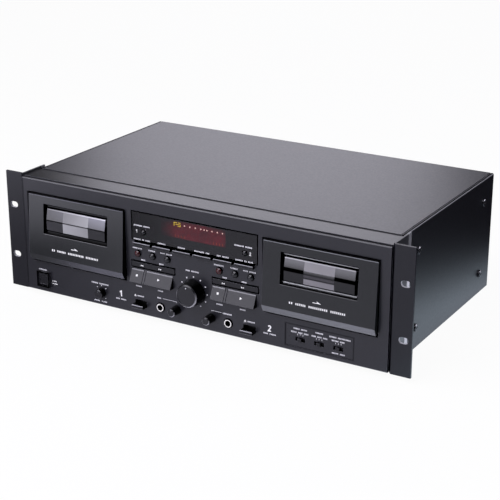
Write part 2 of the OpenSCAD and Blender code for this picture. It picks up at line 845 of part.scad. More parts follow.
module front_panel() color(satin_black) place() {
    difference() {
        union() {
            panel_shell();
            for (s = [-1, 1]) {
                well_bosses(s);
                rocker_lugs(s);
                eject_sleeve(s);
                for (z = board_post_z) rod(s * board_post_x, z, [panel_t - embed, board_y], post_r);
            }
            power_frame();
        }
        for (s = [-1, 1]) deck_cuts(s);
        display_cuts();
        lower_cuts();
        ear_screw_holes();
        block([-power_x - power_half_w, power_half_w - power_x], [-bezel_out - 1, panel_t + 1],
              [power_z - power_half_h, power_z + power_half_h]);
    }
    for (s = [-1, 1]) {
        x = s * group_x - group_x + rib_x;
        side_profile([x, x + rib_w], wedge(panel_t));
        block([x, x + rib_w], [0, panel_t], [key_z - slide_gap - embed, key_z1 + slide_gap + embed]);
    }
}

module display_window() color(smoke) place() difference() {
    block([-window_w / 2, window_w / 2], [0, window_t], [window_z, window_z1]);
    for (s = [-1, 1]) rod(s * counter_x, counter_z, [-1, window_t + 1], counter_r + counter_gap);
}

// Tact switch soldered to the front of the control board
module tact(x, z) {
    half = tact_w / 2;
    block([x - half, x + half], [board_y - tact_h, board_y + embed], [z - half, z + half]);
    rod(x, z, [tact_y, board_y - tact_h + embed], tact_cap_r);
}

module control_board() color(board_green) place() {
    block([-board_half, board_half], [board_y, board_y + board_t], [board_z0, board_z1]);
    block([-display_half, display_half], [panel_t + 1, board_y + embed], [display_z0, display_z1]);
    for (i = [0:fkey_count - 1]) tact(fkey_at(i), fkey_z + fkey_h / 2);
    for (s = [-1, 1]) {
        gx = s * group_x;
        for (i = [-1, 0, 1]) tact(gx + i * round_pitch, round_z);
        for (t = [-1, 1]) tact(gx + t * rocker_nub_x, rocker_z + rocker_h / 2);
        tact(gx - group_x + stop_x + stop_w / 2, key_z + key_h / 2);
        tact(gx - group_x + play_x + play_w / 2, key_z + key_h / 2);
        tact(s * counter_x, counter_z);
    }
}

// Pot with a bush against the panel and a bore for the knob shaft
module pot(x, z, y1, body_r, shaft_r) {
    difference() {
        union() {
            rod(x, z, [panel_t, panel_t + pot_bush_l + embed], shaft_r + 2);
            rod(x, z, [panel_t + pot_bush_l, y1], body_r);
        }
        rod(x, z, [panel_t - 1, y1 - 1.5], shaft_r + pin_fit);
    }
}

module slide_switch_body(x) {
    half = switch_body_w / 2;
    difference() {
        block([x - half, x + half], [panel_t, panel_t + switch_body_d],
              [switch_z - switch_body_h / 2, switch_z + switch_body_h / 2]);
        block([x - half + 1, x + half - 1], [panel_t - 1, panel_t + shutter_t + 2 * slide_gap],
              [switch_z - shutter_h / 2 - slide_gap, switch_z + shutter_h / 2 + slide_gap]);
    }
}

module power_switch_body() {
    w = power_half_w;
    h = power_half_h;
    difference() {
        block([-power_x - w - power_wall, w + power_wall - power_x], [panel_t, panel_t + power_body_d],
              [power_z - h - power_wall, power_z + h + power_wall]);
        block([-power_x - w, w - power_x], [panel_t - 1, panel_t + power_body + power_travel + 1],
              [power_z - h, power_z + h]);
    }
}

module panel_switches() color(cap_black) place() {
    pot(0, level_z, board_y, level_pot_r, level_shaft_r);
    for (s = [-1, 1]) pot(s * small_x, small_z, panel_t + pot_depth, small_pot_r, small_shaft_r);
    pot(-pitch_x, pitch_z, panel_t + pot_depth, small_pot_r, small_shaft_r);
    for (i = [-1, 0, 1]) slide_switch_body(switch_x + i * switch_pitch);
    power_switch_body();
}

module front_jacks() color(steel) place() for (s = [-1, 1]) difference() {
    union() {
        rod(s * jack_x, jack_z, [-jack_out, panel_t + embed], jack_sleeve_r);
        block([s * jack_x - jack_box / 2, s * jack_x + jack_box / 2], [panel_t, panel_t + jack_l],
              [jack_z - jack_box / 2, jack_z + jack_box / 2]);
    }
    rod(s * jack_x, jack_z, [-jack_out - 1, panel_t + jack_l - 3], jack_r);
}

// Doors

// Local frame of the door front: origin at the middle of the window, Y into the door, Z up its slope
module on_door(xc) {
    translate([xc, pane_y, pane_z]) rotate([-door_tilt, 0, 0]) children();
}

// Opening with four bevelled edges, wide at the front
module bevelled_opening(w, h, bevel) {
    y = [-bevel, bevel];
    intersection() {
        linear_extrude(4 * h, center = true)
            polygon([[-w / 2 - 2 * bevel, y[0]], [w / 2 + 2 * bevel, y[0]], [w / 2, y[1]], [-w / 2, y[1]]]);
        side_profile([-w, w], [[y[0], -h / 2 - 2 * bevel], [y[1], -h / 2], [y[1], h / 2],
            [y[0], h / 2 + 2 * bevel]]);
    }
}

module door_face(xc) {
    side_profile([xc - door_w / 2, xc + door_w / 2], [[-door_top_out, door_z1], [-door_lip_out, lip_z],
        [lip_run - door_lip_out, door_z0], [door_back, door_z0 + door_heel], [door_back, door_z1]]);
}

// Rails, back lips and bottom ledges that hold the cassette behind the door
module cassette_holder(xc) {
    for (s = [-1, 1]) {
        out = holder_half + holder_t;
        rail = s > 0 ? [holder_half, out] : [-out, -holder_half];
        lip = s > 0 ? [holder_half - holder_lip, out] : [-out, holder_lip - holder_half];
        ledge = s > 0 ? [holder_half - ledge_in, out] : [-out, ledge_in - holder_half];
        translate([xc, 0, 0]) {
            block(rail, [door_back - embed, holder_y + holder_t], [tape_z - holder_t, tape_z + rail_h]);
            block(lip, [holder_y, holder_y + holder_t], [tape_z - holder_t, tape_z + rail_h]);
            block(ledge, [door_back - embed, holder_y + holder_t],
                  [tape_z - holder_t - tape_play, tape_z - tape_play]);
        }
    }
}

// Hinge ear with its pin at one end of the door
module door_ear(x, pin) {
    ear_r = hinge_r + 1.6;
    block(x, [door_back - embed, hinge_y], [hinge_z - ear_r, hinge_z + ear_r]);
    cross_rod(hinge_y, hinge_z, x, ear_r);
    cross_rod(hinge_y, hinge_z, pin, hinge_r);
}

module door(s) color(door_black) place() {
    xc = s * deck_x;
    half = door_w / 2;
    reach = door_gap + lug_w - 0.2;
    difference() {
        union() {
            door_face(xc);
            cassette_holder(xc);
            door_ear([xc - half, xc - half + 3], [xc - half - reach, xc - half + 1]);
            door_ear([xc + half - 3, xc + half], [xc + half - 1, xc + half + reach]);
        }
        on_door(xc) {
            bevelled_opening(pane_w, pane_h, pane_bevel);
            block([-pane_w / 2, pane_w / 2], [0, pane_deep + pane_t], [-pane_h / 2, pane_h / 2]);
            block([pane_seat - pane_w / 2, pane_w / 2 - pane_seat], [0, 4 * door_lip_out],
                  [pane_seat - pane_h / 2, pane_h / 2 - pane_seat]);
        }
    }
}

module door_window(s) color(smoke) place() on_door(s * deck_x) {
    h = pane_h / 2 - pane_fit;
    w = pane_w / 2 - pane_fit;
    top = pane_h / 2 - moat_z;
    block([-w, w], [pane_deep, pane_deep + pane_t], [-h, h]);
    side_profile([moat_x - pane_w / 2, pane_w / 2 - moat_x], [[pane_deep + embed, -top],
        [ridge_deep + facet_down, -top], [ridge_deep, -ridge_drop], [ridge_deep + facet_up, top],
        [pane_deep + embed, top]]);
}

// Transports

module transport_frame(s) {
    xc = s * deck_x;
    y1 = plate_y + plate_t;
    difference() {
        union() {
            block([xc - plate_half, xc + plate_half], [plate_y, y1], [plate_z0, plate_z1]);
            rod(xc + capstan_x, capstan_z, [plate_y, y1 + capstan_boss_l], capstan_boss_r);
            block([xc + bridge_post_x[0] - bridge_edge, xc + bridge_post_x[1] + bridge_edge],
                  [bridge_y, bridge_y + plate_t],
                  [bridge_post_z[0] - bridge_edge, bridge_post_z[1] + bridge_edge]);
            for (x = bridge_post_x, z = bridge_post_z) rod(xc + x, z, [y1 - embed, bridge_y + embed], post_r);
            for (t = [-1, 1]) {
                x = xc + t * slide_pin_x;
                cap_y = slide_y0 - slide_gap;
                rod(x, slide_pin_z, [cap_y - slide_pin_cap_t, plate_y + embed], slide_pin_r);
                rod(x, slide_pin_z, [cap_y - slide_pin_cap_t, cap_y], slide_pin_cap_r);
            }
        }
        for (t = [-1, 1]) rod(xc + t * reel_pitch / 2, reel_z, [plate_y - 1, y1 + 1], reel_shaft_r + pin_fit);
        rod(xc + capstan_x, capstan_z, [plate_y - 1, bridge_y + plate_t + 1], capstan_r + pin_fit);
        rod(xc + motor_x, motor_z, [bridge_y - 1, bridge_y + plate_t + 1], motor_bush_r + 0.2);
    }
}

module transport_frames() color(zinc) place() for (s = [-1, 1]) transport_frame(s);

module capstan_motors() color(steel) place() for (s = [-1, 1]) {
    x = s * deck_x + motor_x;
    back = bridge_y + plate_t;
    rod(x, motor_z, [back, back + motor_l], motor_r);
    rod(x, motor_z, [bridge_y, back + embed], motor_bush_r);
    rod(x, motor_z, [belt_y - 1, bridge_y + embed], 1);
    turned(x, motor_z, belt_y + belt_w / 2 + pulley_t / 2, [[0, 0], [pulley_r + 1, 0], [pulley_r, 1.2],
        [pulley_r, pulley_t - 1.2], [pulley_r + 1, pulley_t], [0, pulley_t]]);
}

// Outline of the belt path round the flywheel and the pulley, grown by a margin
module belt_outline(margin) {
    hull() {
        translate([capstan_x, capstan_z]) circle(flywheel_r + belt_gap + margin);
        translate([motor_x, motor_z]) circle(pulley_r + 0.1 + margin);
    }
}

module drive_belts() color(cap_black) place() for (s = [-1, 1])
    translate([s * deck_x, belt_y + belt_w, 0]) rotate([90, 0, 0]) linear_extrude(belt_w) difference() {
        belt_outline(belt_t);
        belt_outline(0);
    }

module flywheel(s) color(steel) place() {
    hub_r = 6;
    dish = 2;
    disc = plate_t + 3;
    tip = bridge_y + plate_t - capstan_tip_y;
    turned(s * deck_x + capstan_x, capstan_z, bridge_y + plate_t, [[0, 0], [capstan_r, 0],
        [capstan_r, plate_t + 1], [hub_r, plate_t + 1], [hub_r, disc + dish],
        [flywheel_r - 5, disc + dish], [flywheel_r - 4, disc], [flywheel_r, disc],
        [flywheel_r, disc + flywheel_t], [capstan_r, disc + flywheel_t],
        [capstan_r, tip - 0.6], [capstan_r - 0.5, tip], [0, tip]]);
}

module reel(x) {
    core = spindle_r - 1.5;
    turned(x, reel_z, reel_base_y, [[0, -plate_t - 2], [reel_shaft_r, -plate_t - 2], [reel_shaft_r, 0],
        [reel_r, 0], [reel_r, reel_t - 0.4], [reel_r - 0.4, reel_t], [core, reel_t], [core, spindle_l - 2],
        [0, spindle_l]]);
    for (a = [0, 120, 240]) translate([x, reel_base_y, reel_z]) rotate([0, a, 0])
        block([core - 1, spindle_r], [1 - spindle_l + 2, embed - reel_t], [-0.6, 0.6]);
}

module supply_reel(s) color(cap_black) place() reel(s * deck_x - reel_pitch / 2);

module takeup_reel(s) color(cap_black) place() reel(s * deck_x + reel_pitch / 2);

// Slide plate with the play head, the erase head and the pinch roller on its axle
module head_slide(s) color(steel) place() {
    xc = s * deck_x;
    z0 = slide_pin_z - head_travel - slide_slot_r - slide_rim;
    z1 = slide_pin_z + slide_slot_r + slide_rim;
    rx = xc + capstan_x;
    difference() {
        block([xc - slide_half, xc + slide_half], [slide_y0, slide_y1], [z0, z1]);
        for (t = [-1, 1]) {
            x = xc + t * slide_pin_x;
            round_slot([x, x], [slide_pin_z - head_travel, slide_pin_z], [slide_y0 - 1, slide_y1 + 1],
                       slide_slot_r);
        }
    }
    intersection() {
        block([xc - head_w / 2, xc + head_w / 2], [head_y, slide_y0 + embed], [z0 + head_rise, head_top]);
        rod(xc, head_top - head_w, [head_y, slide_y0 + embed], head_w);
    }
    block([xc - head_w - erase_w, xc - head_w], [head_y, slide_y0 + embed], [z0 + head_rise, head_top - 2]);
    block([rx - roller_arm_w / 2, rx + roller_arm_w / 2],
          [head_y + roller_t + 2 * slide_gap, slide_y0 + embed],
          [roller_z - roller_arm_h / 2, roller_z + roller_arm_h / 2]);
    rod(rx, roller_z, [head_y - 0.6, head_y + roller_t + 1], roller_axle_r);
    difference() {
        rod(rx, roller_z, [head_y, head_y + roller_t], roller_r);
        rod(rx, roller_z, [head_y - 1, head_y + roller_t + 1], roller_axle_r + pin_fit);
    }
}

// Keys and buttons

function fkey_at(i) = (i - (fkey_count - 1) / 2) * fkey_pitch;

module function_key(i) color(key_grey) place() {
    x = fkey_at(i);
    bevel = 0.5;
    side_profile([x - fkey_w / 2, x + fkey_w / 2], [[bevel - fkey_out, fkey_z], [-fkey_out, fkey_z + bevel],
        [-fkey_out, fkey_z + fkey_h - bevel], [bevel - fkey_out, fkey_z + fkey_h],
        [panel_t + 2, fkey_z + fkey_h], [panel_t + 2, fkey_z]]);
    stem(x, fkey_z + fkey_h / 2, panel_t + 2 - embed);
}

// Round push button with a rounded cap and a stem
module push_button(x, z, r, out, tint) color(tint) place() {
    turned(x, z, 0, [[0, -stem_y], [r - 1, -stem_y], [r - 1, -panel_t - 1], [r, -panel_t - 1], [r, out - 0.5],
        [r - 0.5, out], [0, out]]);
}

module round_button(s, i, tint) {
    push_button(s * group_x + i * round_pitch, round_z, round_r, round_out, tint);
}

module counter_button(s) {
    push_button(s * counter_x, counter_z, counter_r, counter_out, cap_black);
}

// Rocker bar that turns on an upright pin behind the panel
module wind_rocker(s) color(satin_black) place() {
    x = s * group_x;
    difference() {
        block([x - rocker_w / 2, x + rocker_w / 2], [-rocker_out, rocker_depth], [rocker_z, rocker_z1]);
        block([x - 0.25, x + 0.25], [-rocker_out - 1, 0.2], [rocker_z1 - 2, rocker_z1 + 1]);
    }
    block([x - rocker_boss, x + rocker_boss], [rocker_depth - embed, rocker_pin_y + rocker_boss],
          [rocker_z, rocker_z1]);
    stud(x, rocker_pin_y, rocker_pin_z, rocker_pin_r);
    for (t = [-1, 1])
        rod(x + t * rocker_nub_x, rocker_z + rocker_h / 2, [rocker_depth - embed, stem_y - 0.2], 1.5);
}

module wedge_key(x) color(key_grey) place() {
    side_profile(x, wedge(key_back));
    stem((x[0] + x[1]) / 2, key_z + key_h / 2, key_back - embed);
}

module stop_key(s) {
    left = s * group_x - group_x + stop_x;
    wedge_key([left, left + stop_w]);
}

module play_key(s) {
    left = s * group_x - group_x + play_x;
    wedge_key([left, left + play_w]);
}

// Flat bar that stands out of the lower half of its opening, with a block behind it that fills the sleeve
module eject_key(s) color(satin_black) place() {
    z1 = eject_z + eject_h;
    top = eject_z + eject_bar_h;
    side_profile([s * eject_x - eject_w / 2, s * eject_x + eject_w / 2], [[eject_bevel - eject_out, eject_z],
        [-eject_out, eject_z + eject_bevel], [-eject_out, top - eject_bevel], [eject_bevel - eject_out, top],
        [eject_step_y, top], [eject_step_y, z1], [eject_rear, z1], [eject_rear, eject_z]]);
}

module power_button() color(cap_black) place() {
    w = power_w / 2;
    h = power_h / 2;
    face = power_set - bezel_out;
    rim = 1.2;
    difference() {
        block([-power_x - w, w - power_x], [face, panel_t + power_body], [power_z - h, power_z + h]);
        block([rim - power_x - w, w - rim - power_x], [face - 1, face + 0.5],
              [power_z - h + rim, power_z + h - rim]);
    }
}

// Knobs and slide switches

module record_level_knob() color(satin_black) place() difference() {
    turned(0, level_z, 0, [[0, 2 - board_y], [level_shaft_r, 2 - board_y], [level_shaft_r, knob_lift],
        [level_r - 0.6, knob_lift], [level_r, knob_lift + 0.7], [level_r - 1.8, level_out - 1.4],
        [level_r - 3, level_out], [level_r - 3.8, level_out - level_face], [0, level_out - level_face]]);
    rod(0, level_z + level_r - 5.2, [-level_out - 1, level_face + 0.4 - level_out], 0.7);
}

// Small knob with a tapered grip
module small_knob(x, z, r, out) color(satin_black) place()
    turned(x, z, 0, [[0, small_shaft_end], [small_shaft_r, small_shaft_end], [small_shaft_r, knob_lift],
        [r, knob_lift], [r, knob_lift + 0.6], [r - 0.7, out - 0.8], [r - 1.4, out], [0, out]]);

module slider(i) color(cap_black) place() {
    x = switch_x + i * switch_pitch;
    half = switch_body_w / 2 - 1 - switch_stroke - slide_gap;
    block([x - half, x + half], [panel_t + slide_gap, panel_t + slide_gap + shutter_t],
          [switch_z - shutter_h / 2, switch_z + shutter_h / 2]);
    block([x - cap_w / 2, x + cap_w / 2], [-cap_out, panel_t + slide_gap + embed],
          [switch_z - cap_h / 2, switch_z + cap_h / 2]);
}

// Rear sockets and the inside of the case

module phono_sockets() color(steel) place() difference() {
    union() {
        for (x = phono_x)
            block([x - phono_edge, x + phono_edge], [rear_y0 - phono_block_d, rear_y0],
                  [phono_z[0] - phono_edge, phono_z[1] + phono_edge]);
        for (x = phono_x, z = phono_z) {
            rod(x, z, [rear_y0 - embed, rear_y1 + phono_collar_out], phono_collar_r);
            rod(x, z, [rear_y0, rear_reach], phono_r);
        }
    }
    for (x = phono_x, z = phono_z) rod(x, z, [rear_reach - 10, rear_reach + 1], phono_bore_r);
}

module mains_inlet() color(cap_black) place() translate([-inlet_x, rear_y1, inlet_z]) {
    w = inlet_w / 2;
    h = inlet_h / 2;
    difference() {
        union() {
            block([-w - inlet_wall, w + inlet_wall], [-inlet_d - inlet_wall, embed],
                  [-h - inlet_wall, h + inlet_wall]);
            block([-w - inlet_flange, w + inlet_flange], [0, inlet_flange_t],
                  [-h - inlet_flange, h + inlet_flange]);
        }
        rotate([90, 0, 0]) translate([0, 0, -inlet_flange_t - 1]) linear_extrude(inlet_d + inlet_flange_t + 1)
            polygon([[-w, -h], [w, -h], [w, h - inlet_chamfer], [w - inlet_chamfer, h],
                [inlet_chamfer - w, h], [-w, h - inlet_chamfer]]);
    }
    for (i = [-1, 0, 1]) {
        pin_z = i == 0 ? inlet_pin_z : -inlet_pin_z;
        translate([i * inlet_pin_x - inlet_pin[0] / 2, -inlet_d - embed, pin_z - inlet_pin[2] / 2])
            cube(inlet_pin);
    }
}

// Board on spacers, with a row of capacitors, three chips and a heat sink of six fins
module main_board() color(board_green) place() {
    x0 = main_board_x[0];
    y0 = main_board_y[0];
    z0 = base_z1 + main_board_lift;
    top = z0 + board_t;
    block(main_board_x, main_board_y, [z0, top]);
    for (x = [x0 + spacer_in, main_board_x[1] - spacer_in], y = [y0 + spacer_in, main_board_y[1] - spacer_in])
        stud(x, y, [base_z1, z0 + embed], spacer_r);
    for (i = [0:3])
        stud(x0 + can_in[0] + can_pitch * i, main_board_y[1] - can_in[1], [top - embed, top + can_h], can_r);
    for (i = [0:2])
        translate([x0 + chip_in[0] + chip_pitch * i, y0 + chip_in[1], top - embed]) cube(chip);
    for (i = [0:5])
        translate([x0 + fin_in[0] + fin_pitch * i, y0 + fin_in[1], top - embed]) cube(fin);
}

// Box of a given size, centred over the origin
module centred(size) {
    translate([-size[0] / 2, -size[1] / 2, 0]) cube(size);
}

module power_transformer() color(zinc) place() translate([transformer_x, transformer_y, base_z1]) {
    centred(transformer_core);
    translate([0, 0, transformer_coil_lift]) centred(transformer_coil);
    centred(transformer_foot);
}

chassis_base();
top_cover();
rear_panel();
front_panel();
rack_ears();
case_screws();
feet();
display_window();
control_board();
panel_switches();
main_board();
power_transformer();
front_jacks();
phono_sockets();
mains_inlet();
transport_frames();
capstan_motors();
drive_belts();
door(-1);  // door_1
door(1);  // door_2
door_window(-1);  // door_window_1
door_window(1);  // door_window_2
flywheel(-1);  // flywheel_1
flywheel(1);  // flywheel_2
supply_reel(-1);  // supply_reel_1
supply_reel(1);  // supply_reel_2
takeup_reel(-1);  // takeup_reel_1
takeup_reel(1);  // takeup_reel_2
head_slide(-1);  // head_slide_1
head_slide(1);  // head_slide_2
eject_key(-1);  // eject_key_1
eject_key(1);  // eject_key_2
round_button(-1, -1, red_cap);  // record_button_1
round_button(1, -1, red_cap);  // record_button_2
round_button(-1, 0, satin_black);  // pause_button_1
round_button(1, 0, satin_black);  // pause_button_2
round_button(-1, 1, satin_black);  // mute_button_1
round_button(1, 1, satin_black);  // mute_button_2
counter_button(-1);  // counter_button_1
counter_button(1);  // counter_button_2
wind_rocker(-1);  // wind_rocker_1
wind_rocker(1);  // wind_rocker_2
stop_key(-1);  // stop_key_1
stop_key(1);  // stop_key_2
play_key(-1);  // play_key_1
play_key(1);  // play_key_2
function_key(0);  // return_key_1
function_key(1);  // dimmer_key
function_key(2);  // repeat_key
function_key(3);  // parallel_key
function_key(4);  // dub_key
function_key(5);  // return_key_2
record_level_knob();
small_knob(-small_x, small_z, small_r, small_out);  // mic_level_knob
small_knob(small_x, small_z, small_r, small_out);  // phones_level_knob
small_knob(-pitch_x, pitch_z, pitch_r, pitch_out);  // pitch_knob
slider(-1);  // play_mode_slider
slider(0);  // timer_slider
slider(1);  // noise_reduction_slider
power_button();
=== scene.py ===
from collections import namedtuple
from math import cos, radians, sin

import bpy
import numpy as np
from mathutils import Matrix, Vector


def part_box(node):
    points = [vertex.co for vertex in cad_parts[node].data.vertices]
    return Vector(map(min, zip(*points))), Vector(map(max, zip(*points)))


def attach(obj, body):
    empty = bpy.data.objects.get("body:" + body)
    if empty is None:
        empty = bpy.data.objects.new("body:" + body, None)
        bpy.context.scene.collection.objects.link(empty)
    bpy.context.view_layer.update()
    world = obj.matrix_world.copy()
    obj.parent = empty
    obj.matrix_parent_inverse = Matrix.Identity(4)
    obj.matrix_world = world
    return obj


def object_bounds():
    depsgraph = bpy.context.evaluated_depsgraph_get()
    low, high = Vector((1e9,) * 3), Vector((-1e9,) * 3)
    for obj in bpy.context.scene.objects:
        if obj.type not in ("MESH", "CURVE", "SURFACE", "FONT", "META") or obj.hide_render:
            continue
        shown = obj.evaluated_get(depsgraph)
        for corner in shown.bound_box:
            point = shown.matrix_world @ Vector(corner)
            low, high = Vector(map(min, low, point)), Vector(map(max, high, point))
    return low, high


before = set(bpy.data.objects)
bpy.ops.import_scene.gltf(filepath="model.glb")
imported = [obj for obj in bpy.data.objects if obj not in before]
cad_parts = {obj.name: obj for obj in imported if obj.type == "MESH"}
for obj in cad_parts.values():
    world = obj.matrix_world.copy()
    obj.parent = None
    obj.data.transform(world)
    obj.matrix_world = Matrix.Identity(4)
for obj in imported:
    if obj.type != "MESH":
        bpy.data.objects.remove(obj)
CAD_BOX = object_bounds()

bl_info = {
    "name": "Double cassette deck",
    "version": (1, 0, 0),
    "blender": (4, 5, 0),
    "location": "View3D > Sidebar > Deck",
    "description": "Finishes, printed marks, lit display and sockets for a rack cassette deck",
    "category": "Object",
}

MM = 0.001
# The deck's own axes, in mm: x to the right of the middle, y back from the panel's face, z up from the ears'
# lower edge.
ORIGIN = np.array([0.0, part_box("display_window")[0].y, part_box("rack_ears")[0].z])


def deck_box(node):
    """A node's lowest and highest corner at rest, on the deck's own axes."""
    return [(np.array(corner) - ORIGIN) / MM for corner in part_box(node)]


# Step between the like controls of the two decks.
DECK_STEP = 99.0
# The doors: place of their middle, height of the windows' middle and of the lips' edge, half a lens, and how
# far the two painted reflection lines of its border are from its middle.
DOOR_X, WINDOW_Z, LIP_Z = 145.25, 87.75, 46.1
LENS_W, LENS_H, REFLECTION_LINE_UP = 38.2, 11.8, 14.4
# The doors' faces lean back: height and depth of their marks, the slope, and the faces' own axes.
MARK_Z, MARK_Y, DOOR_SLOPE = 59, -6.714, 0.0677
DOOR_UP, DOOR_OUT = (0, 0.0675, 0.9977), (0, -0.9977, 0.0675)
# The cover's right side and top, and the top of the keys and rockers.
COVER_X, COVER_Z = deck_box("top_cover")[1][[0, 2]]
KEY_TOP = deck_box("play_key_1")[1][2]
ROCKER_TOP = deck_box("wind_rocker_1")[1][2]
# The stop and the play key of the left deck: their middles, and their fronts, which lean back too.
STOP_X, PLAY_X = -68.5, -41.5
KEY_Y, KEY_Z = -3, 45.15
KEY_UP, KEY_OUT = (0, 0.4217, 0.9067), (0, -0.9067, 0.4217)
# The ears: where their plates begin, outside the bend of their flanges, and the middle of their slots.
EAR_X, SLOT_X = 221.0, 232.55
# The two front jacks: their places, and the radius of the bright bush.
JACK_X, JACK_Z, JACK_R = 41.2, 14.3, 4.2
# The middle of the power button.
POWER_X, POWER_Z = -194.0, 16.0
# The record level knob's axis, and the pitch knob's with the radius of the dots round it.
LEVEL_Z = 40.0
PITCH_X, PITCH_Z, PITCH_DIAL_R = -117.0, 15.5, 7.8
# The seam between the panel's left end and the ear, and the middle of the strip beside the left door.
SEAM_X, GAP_X = -216.3, -210.5
# The sunk field round the slide switches: its middle, half its width and height, and the switches' places.
FIELD_X, FIELD_Z = 144.5, 17.75
FIELD_W, FIELD_H = 37.5, 11.75
SWITCH_X = (123.6, 144.5, 165.4)
# The flat rim left round a button's dome, and the phono sockets: their sleeves' radius, the collars' depth,
# and the places of the two pairs.
DOME_RIM, SLEEVE_R, COLLAR_Y = 0.5, 4.6, 262.5
PHONO_X = (80, 125)
# The floor's height, and the soft lights: place, aim, width and height, all in metres, and watts.
FLOOR_Z = CAD_BOX[0][2]
SOFTBOXES = (
    ("rear_softbox", (-1.04, 1.85, 1.05), (0, 0.1, 0.13), (1.04, 1.1), 9.2),
    ("front_softbox", (-0.1, -1.7, 1.9), (0, -0.1, 0.07), (1.0, 1.0), 33.0),
    ("side_softbox", (1.5, 0.7, 0.95), (0.22, 0, 0.07), (1.3, 1.1), 18.0),
    ("key_softbox", (-1.15, -1.95, 0.5), (0, -0.13, 0.1), (1.7, 1.0), 17.6),
    ("top_softbox", (-0.76, -0.67, 1.3), (0, -0.1, 0.1), (1.0, 1.0), 15.0))
BLACK = (0, 0, 0, 1)

Face = namedtuple("Face", "origin up out")


def upright(x=0.0, y=0.0, z=0.0):
    """An upright face to the front, with its origin there."""
    return Face((x, y, z), (0, 0, 1), (0, -1, 0))


def door_face(side, height):
    """The sloping face of the left (-1) or right (1) door, with its origin at that height."""
    return Face((side * DOOR_X, MARK_Y + DOOR_SLOPE * (height - MARK_Z), height), DOOR_UP, DOOR_OUT)


PANEL = upright()
SWITCH_FIELD = upright(y=0.5)
ROCKER_FACE = upright(y=-0.4)
TUBE = upright(y=3.85)
LIT = upright(y=3.75)

# Plain blocks in the legends' places, on the panel, on the panel once for each deck, and on the switch field:
# both ends, height, and where there are several words, their shares of the width.
PANEL_LEGENDS = (
    (-72.6, -52.6, 100.0, 7, 5), (48.6, 69.0, 100.2, 7, 5), (-73.0, -52.4, 85.0, 6, 2, 4),
    (-43.2, -33.5, 85.0), (-18.8, -9.7, 85.0), (1.2, 19.4, 85.0, 8, 3),
    (28.0, 42.1, 85.0, 3, 5), (49.6, 70.1, 85.0, 6, 2, 4), (-9.6, 6.4, 62.2, 3, 5),
    (-70.4, -62.0, 21.6), (63.6, 72.4, 21.2), (-45.3, -40.4, 24.6),
    (34.4, 45.4, 24.0), (-201.4, -190.4, 26.4), (-130.0, -107.6, 25.3, 5, 7),
    (-127.0, -120.0, 5.4), (-117.5, -110.4, 5.4), (-98.2, -85.0, 13.3, 3, 4),
    (82.0, 96.4, 13.2, 3, 4))
DECK_LEGENDS = (
    (-74.6, -62.8, 74.9), (-55.2, -46.6, 75.0), (-40.4, -25.8, 74.9, 3, 4),
    (-64.6, -59.4, 62.9), (-42.1, -36.4, 62.5), (-72.0, -64.4, 32.7),
    (-44.4, -37.6, 32.6))
SWITCH_LEGENDS = (
    (115.8, 131.2, 25.5, 4, 4), (113.0, 132.6, 21.6, 5, 4, 4), (140.2, 148.8, 25.8),
    (136.0, 153.4, 21.7, 3, 3, 3), (155.4, 178.6, 25.4, 5, 9), (158.0, 172.0, 21.8, 3, 2),
    (158.4, 172.6, 8.8, 4, 3))

# The colour on the back of each lens, from its lower to its upper edge: height, tone, and how much of the
# gloss is left there, first for the tinted sides and then for the clear middle. Besides the tint, its grades,
# its dark bands and the dark ridge line are painted reflection and painted shade, and the pale upper edge is
# a painted highlight. They differ from door to door.
LENS_SIDES_AND_REFLECTION = {
    -1: ((-11.8, "#2c2c2e", 1), (-1.6, "#2c2c2e", 1), (-1.3, "#000000", 0.2), (-0.3, "#000000", 0.2),
         (0.0, "#242428", 1), (10.4, "#404046", 1), (10.8, "#78787c", 1)),
    1: ((-11.8, "#0e0e10", 1), (-2.2, "#121214", 1), (-1.7, "#000000", 0), (1.8, "#000000", 0),
        (2.3, "#0c0c0e", 0.65), (10.4, "#46464a", 1), (10.8, "#98989c", 1))}
LENS_MIDDLE_AND_REFLECTION = {
    -1: ((-11.8, "#828284", 1), (-1.7, "#828284", 1), (-1.4, "#1a1a1c", 1), (-0.4, "#1a1a1c", 0.6),
         (-0.1, "#525254", 1), (10.4, "#525254", 1), (10.8, "#78787c", 1)),
    1: ((-11.8, "#7c7a7e", 1), (-6.4, "#7c7a7e", 1), (-6.0, "#0a0a0c", 1), (-5.0, "#0a0a0c", 1),
        (-4.4, "#3a383c", 1), (-2.6, "#3a383c", 1), (-2.0, "#0a0a0c", 1), (-0.7, "#0a0a0c", 0.6),
        (-0.4, "#0a0a0c", 0.3), (0.6, "#101012", 0.55), (1.6, "#1c1c1e", 0.8), (2.0, "#6e6c70", 1),
        (10.4, "#6e6c70", 1), (10.8, "#98989c", 1))}
# The share of that painted colour at the left and the right end of each lens, on its lower and on its upper
# facet: a painted reflection that grows or fades across the lens.
LENS_REFLECTION_GRADE = {-1: ((1.6, 0.85), (0.5, 3.4)), 1: ((1.0, 0.75), (1.0, 0.75))}


def linear(code):
    """sRGB hex to linear: v / 12.92 up to 0.04045, above it ((v + 0.055) / 1.055) to the power 2.4.

    A colour of the settings, linear already, stays as it is.
    """
    if not isinstance(code, str):
        return tuple(code)
    v = np.array([int(code[i:i + 2], 16) for i in (1, 3, 5)]) / 255
    return (*np.where(v <= 0.04045, v / 12.92, ((v + 0.055) / 1.055) ** 2.4), 1.0)


def times(share, tone):
    """A linear colour, lighter or darker by that share."""
    return (*(share * c for c in tone[:3]), 1.0)


def length(name, words, mm):
    """A length property, given in millimetres and kept in metres."""
    return bpy.props.FloatProperty(name=name, description=words, default=mm * MM, min=0, unit="LENGTH")


def colour(name, words, code):
    """A colour property, given as sRGB hex and kept linear."""
    return bpy.props.FloatVectorProperty(name=name, description=words, default=linear(code), size=4,
                                         min=0, max=1, subtype="COLOR")


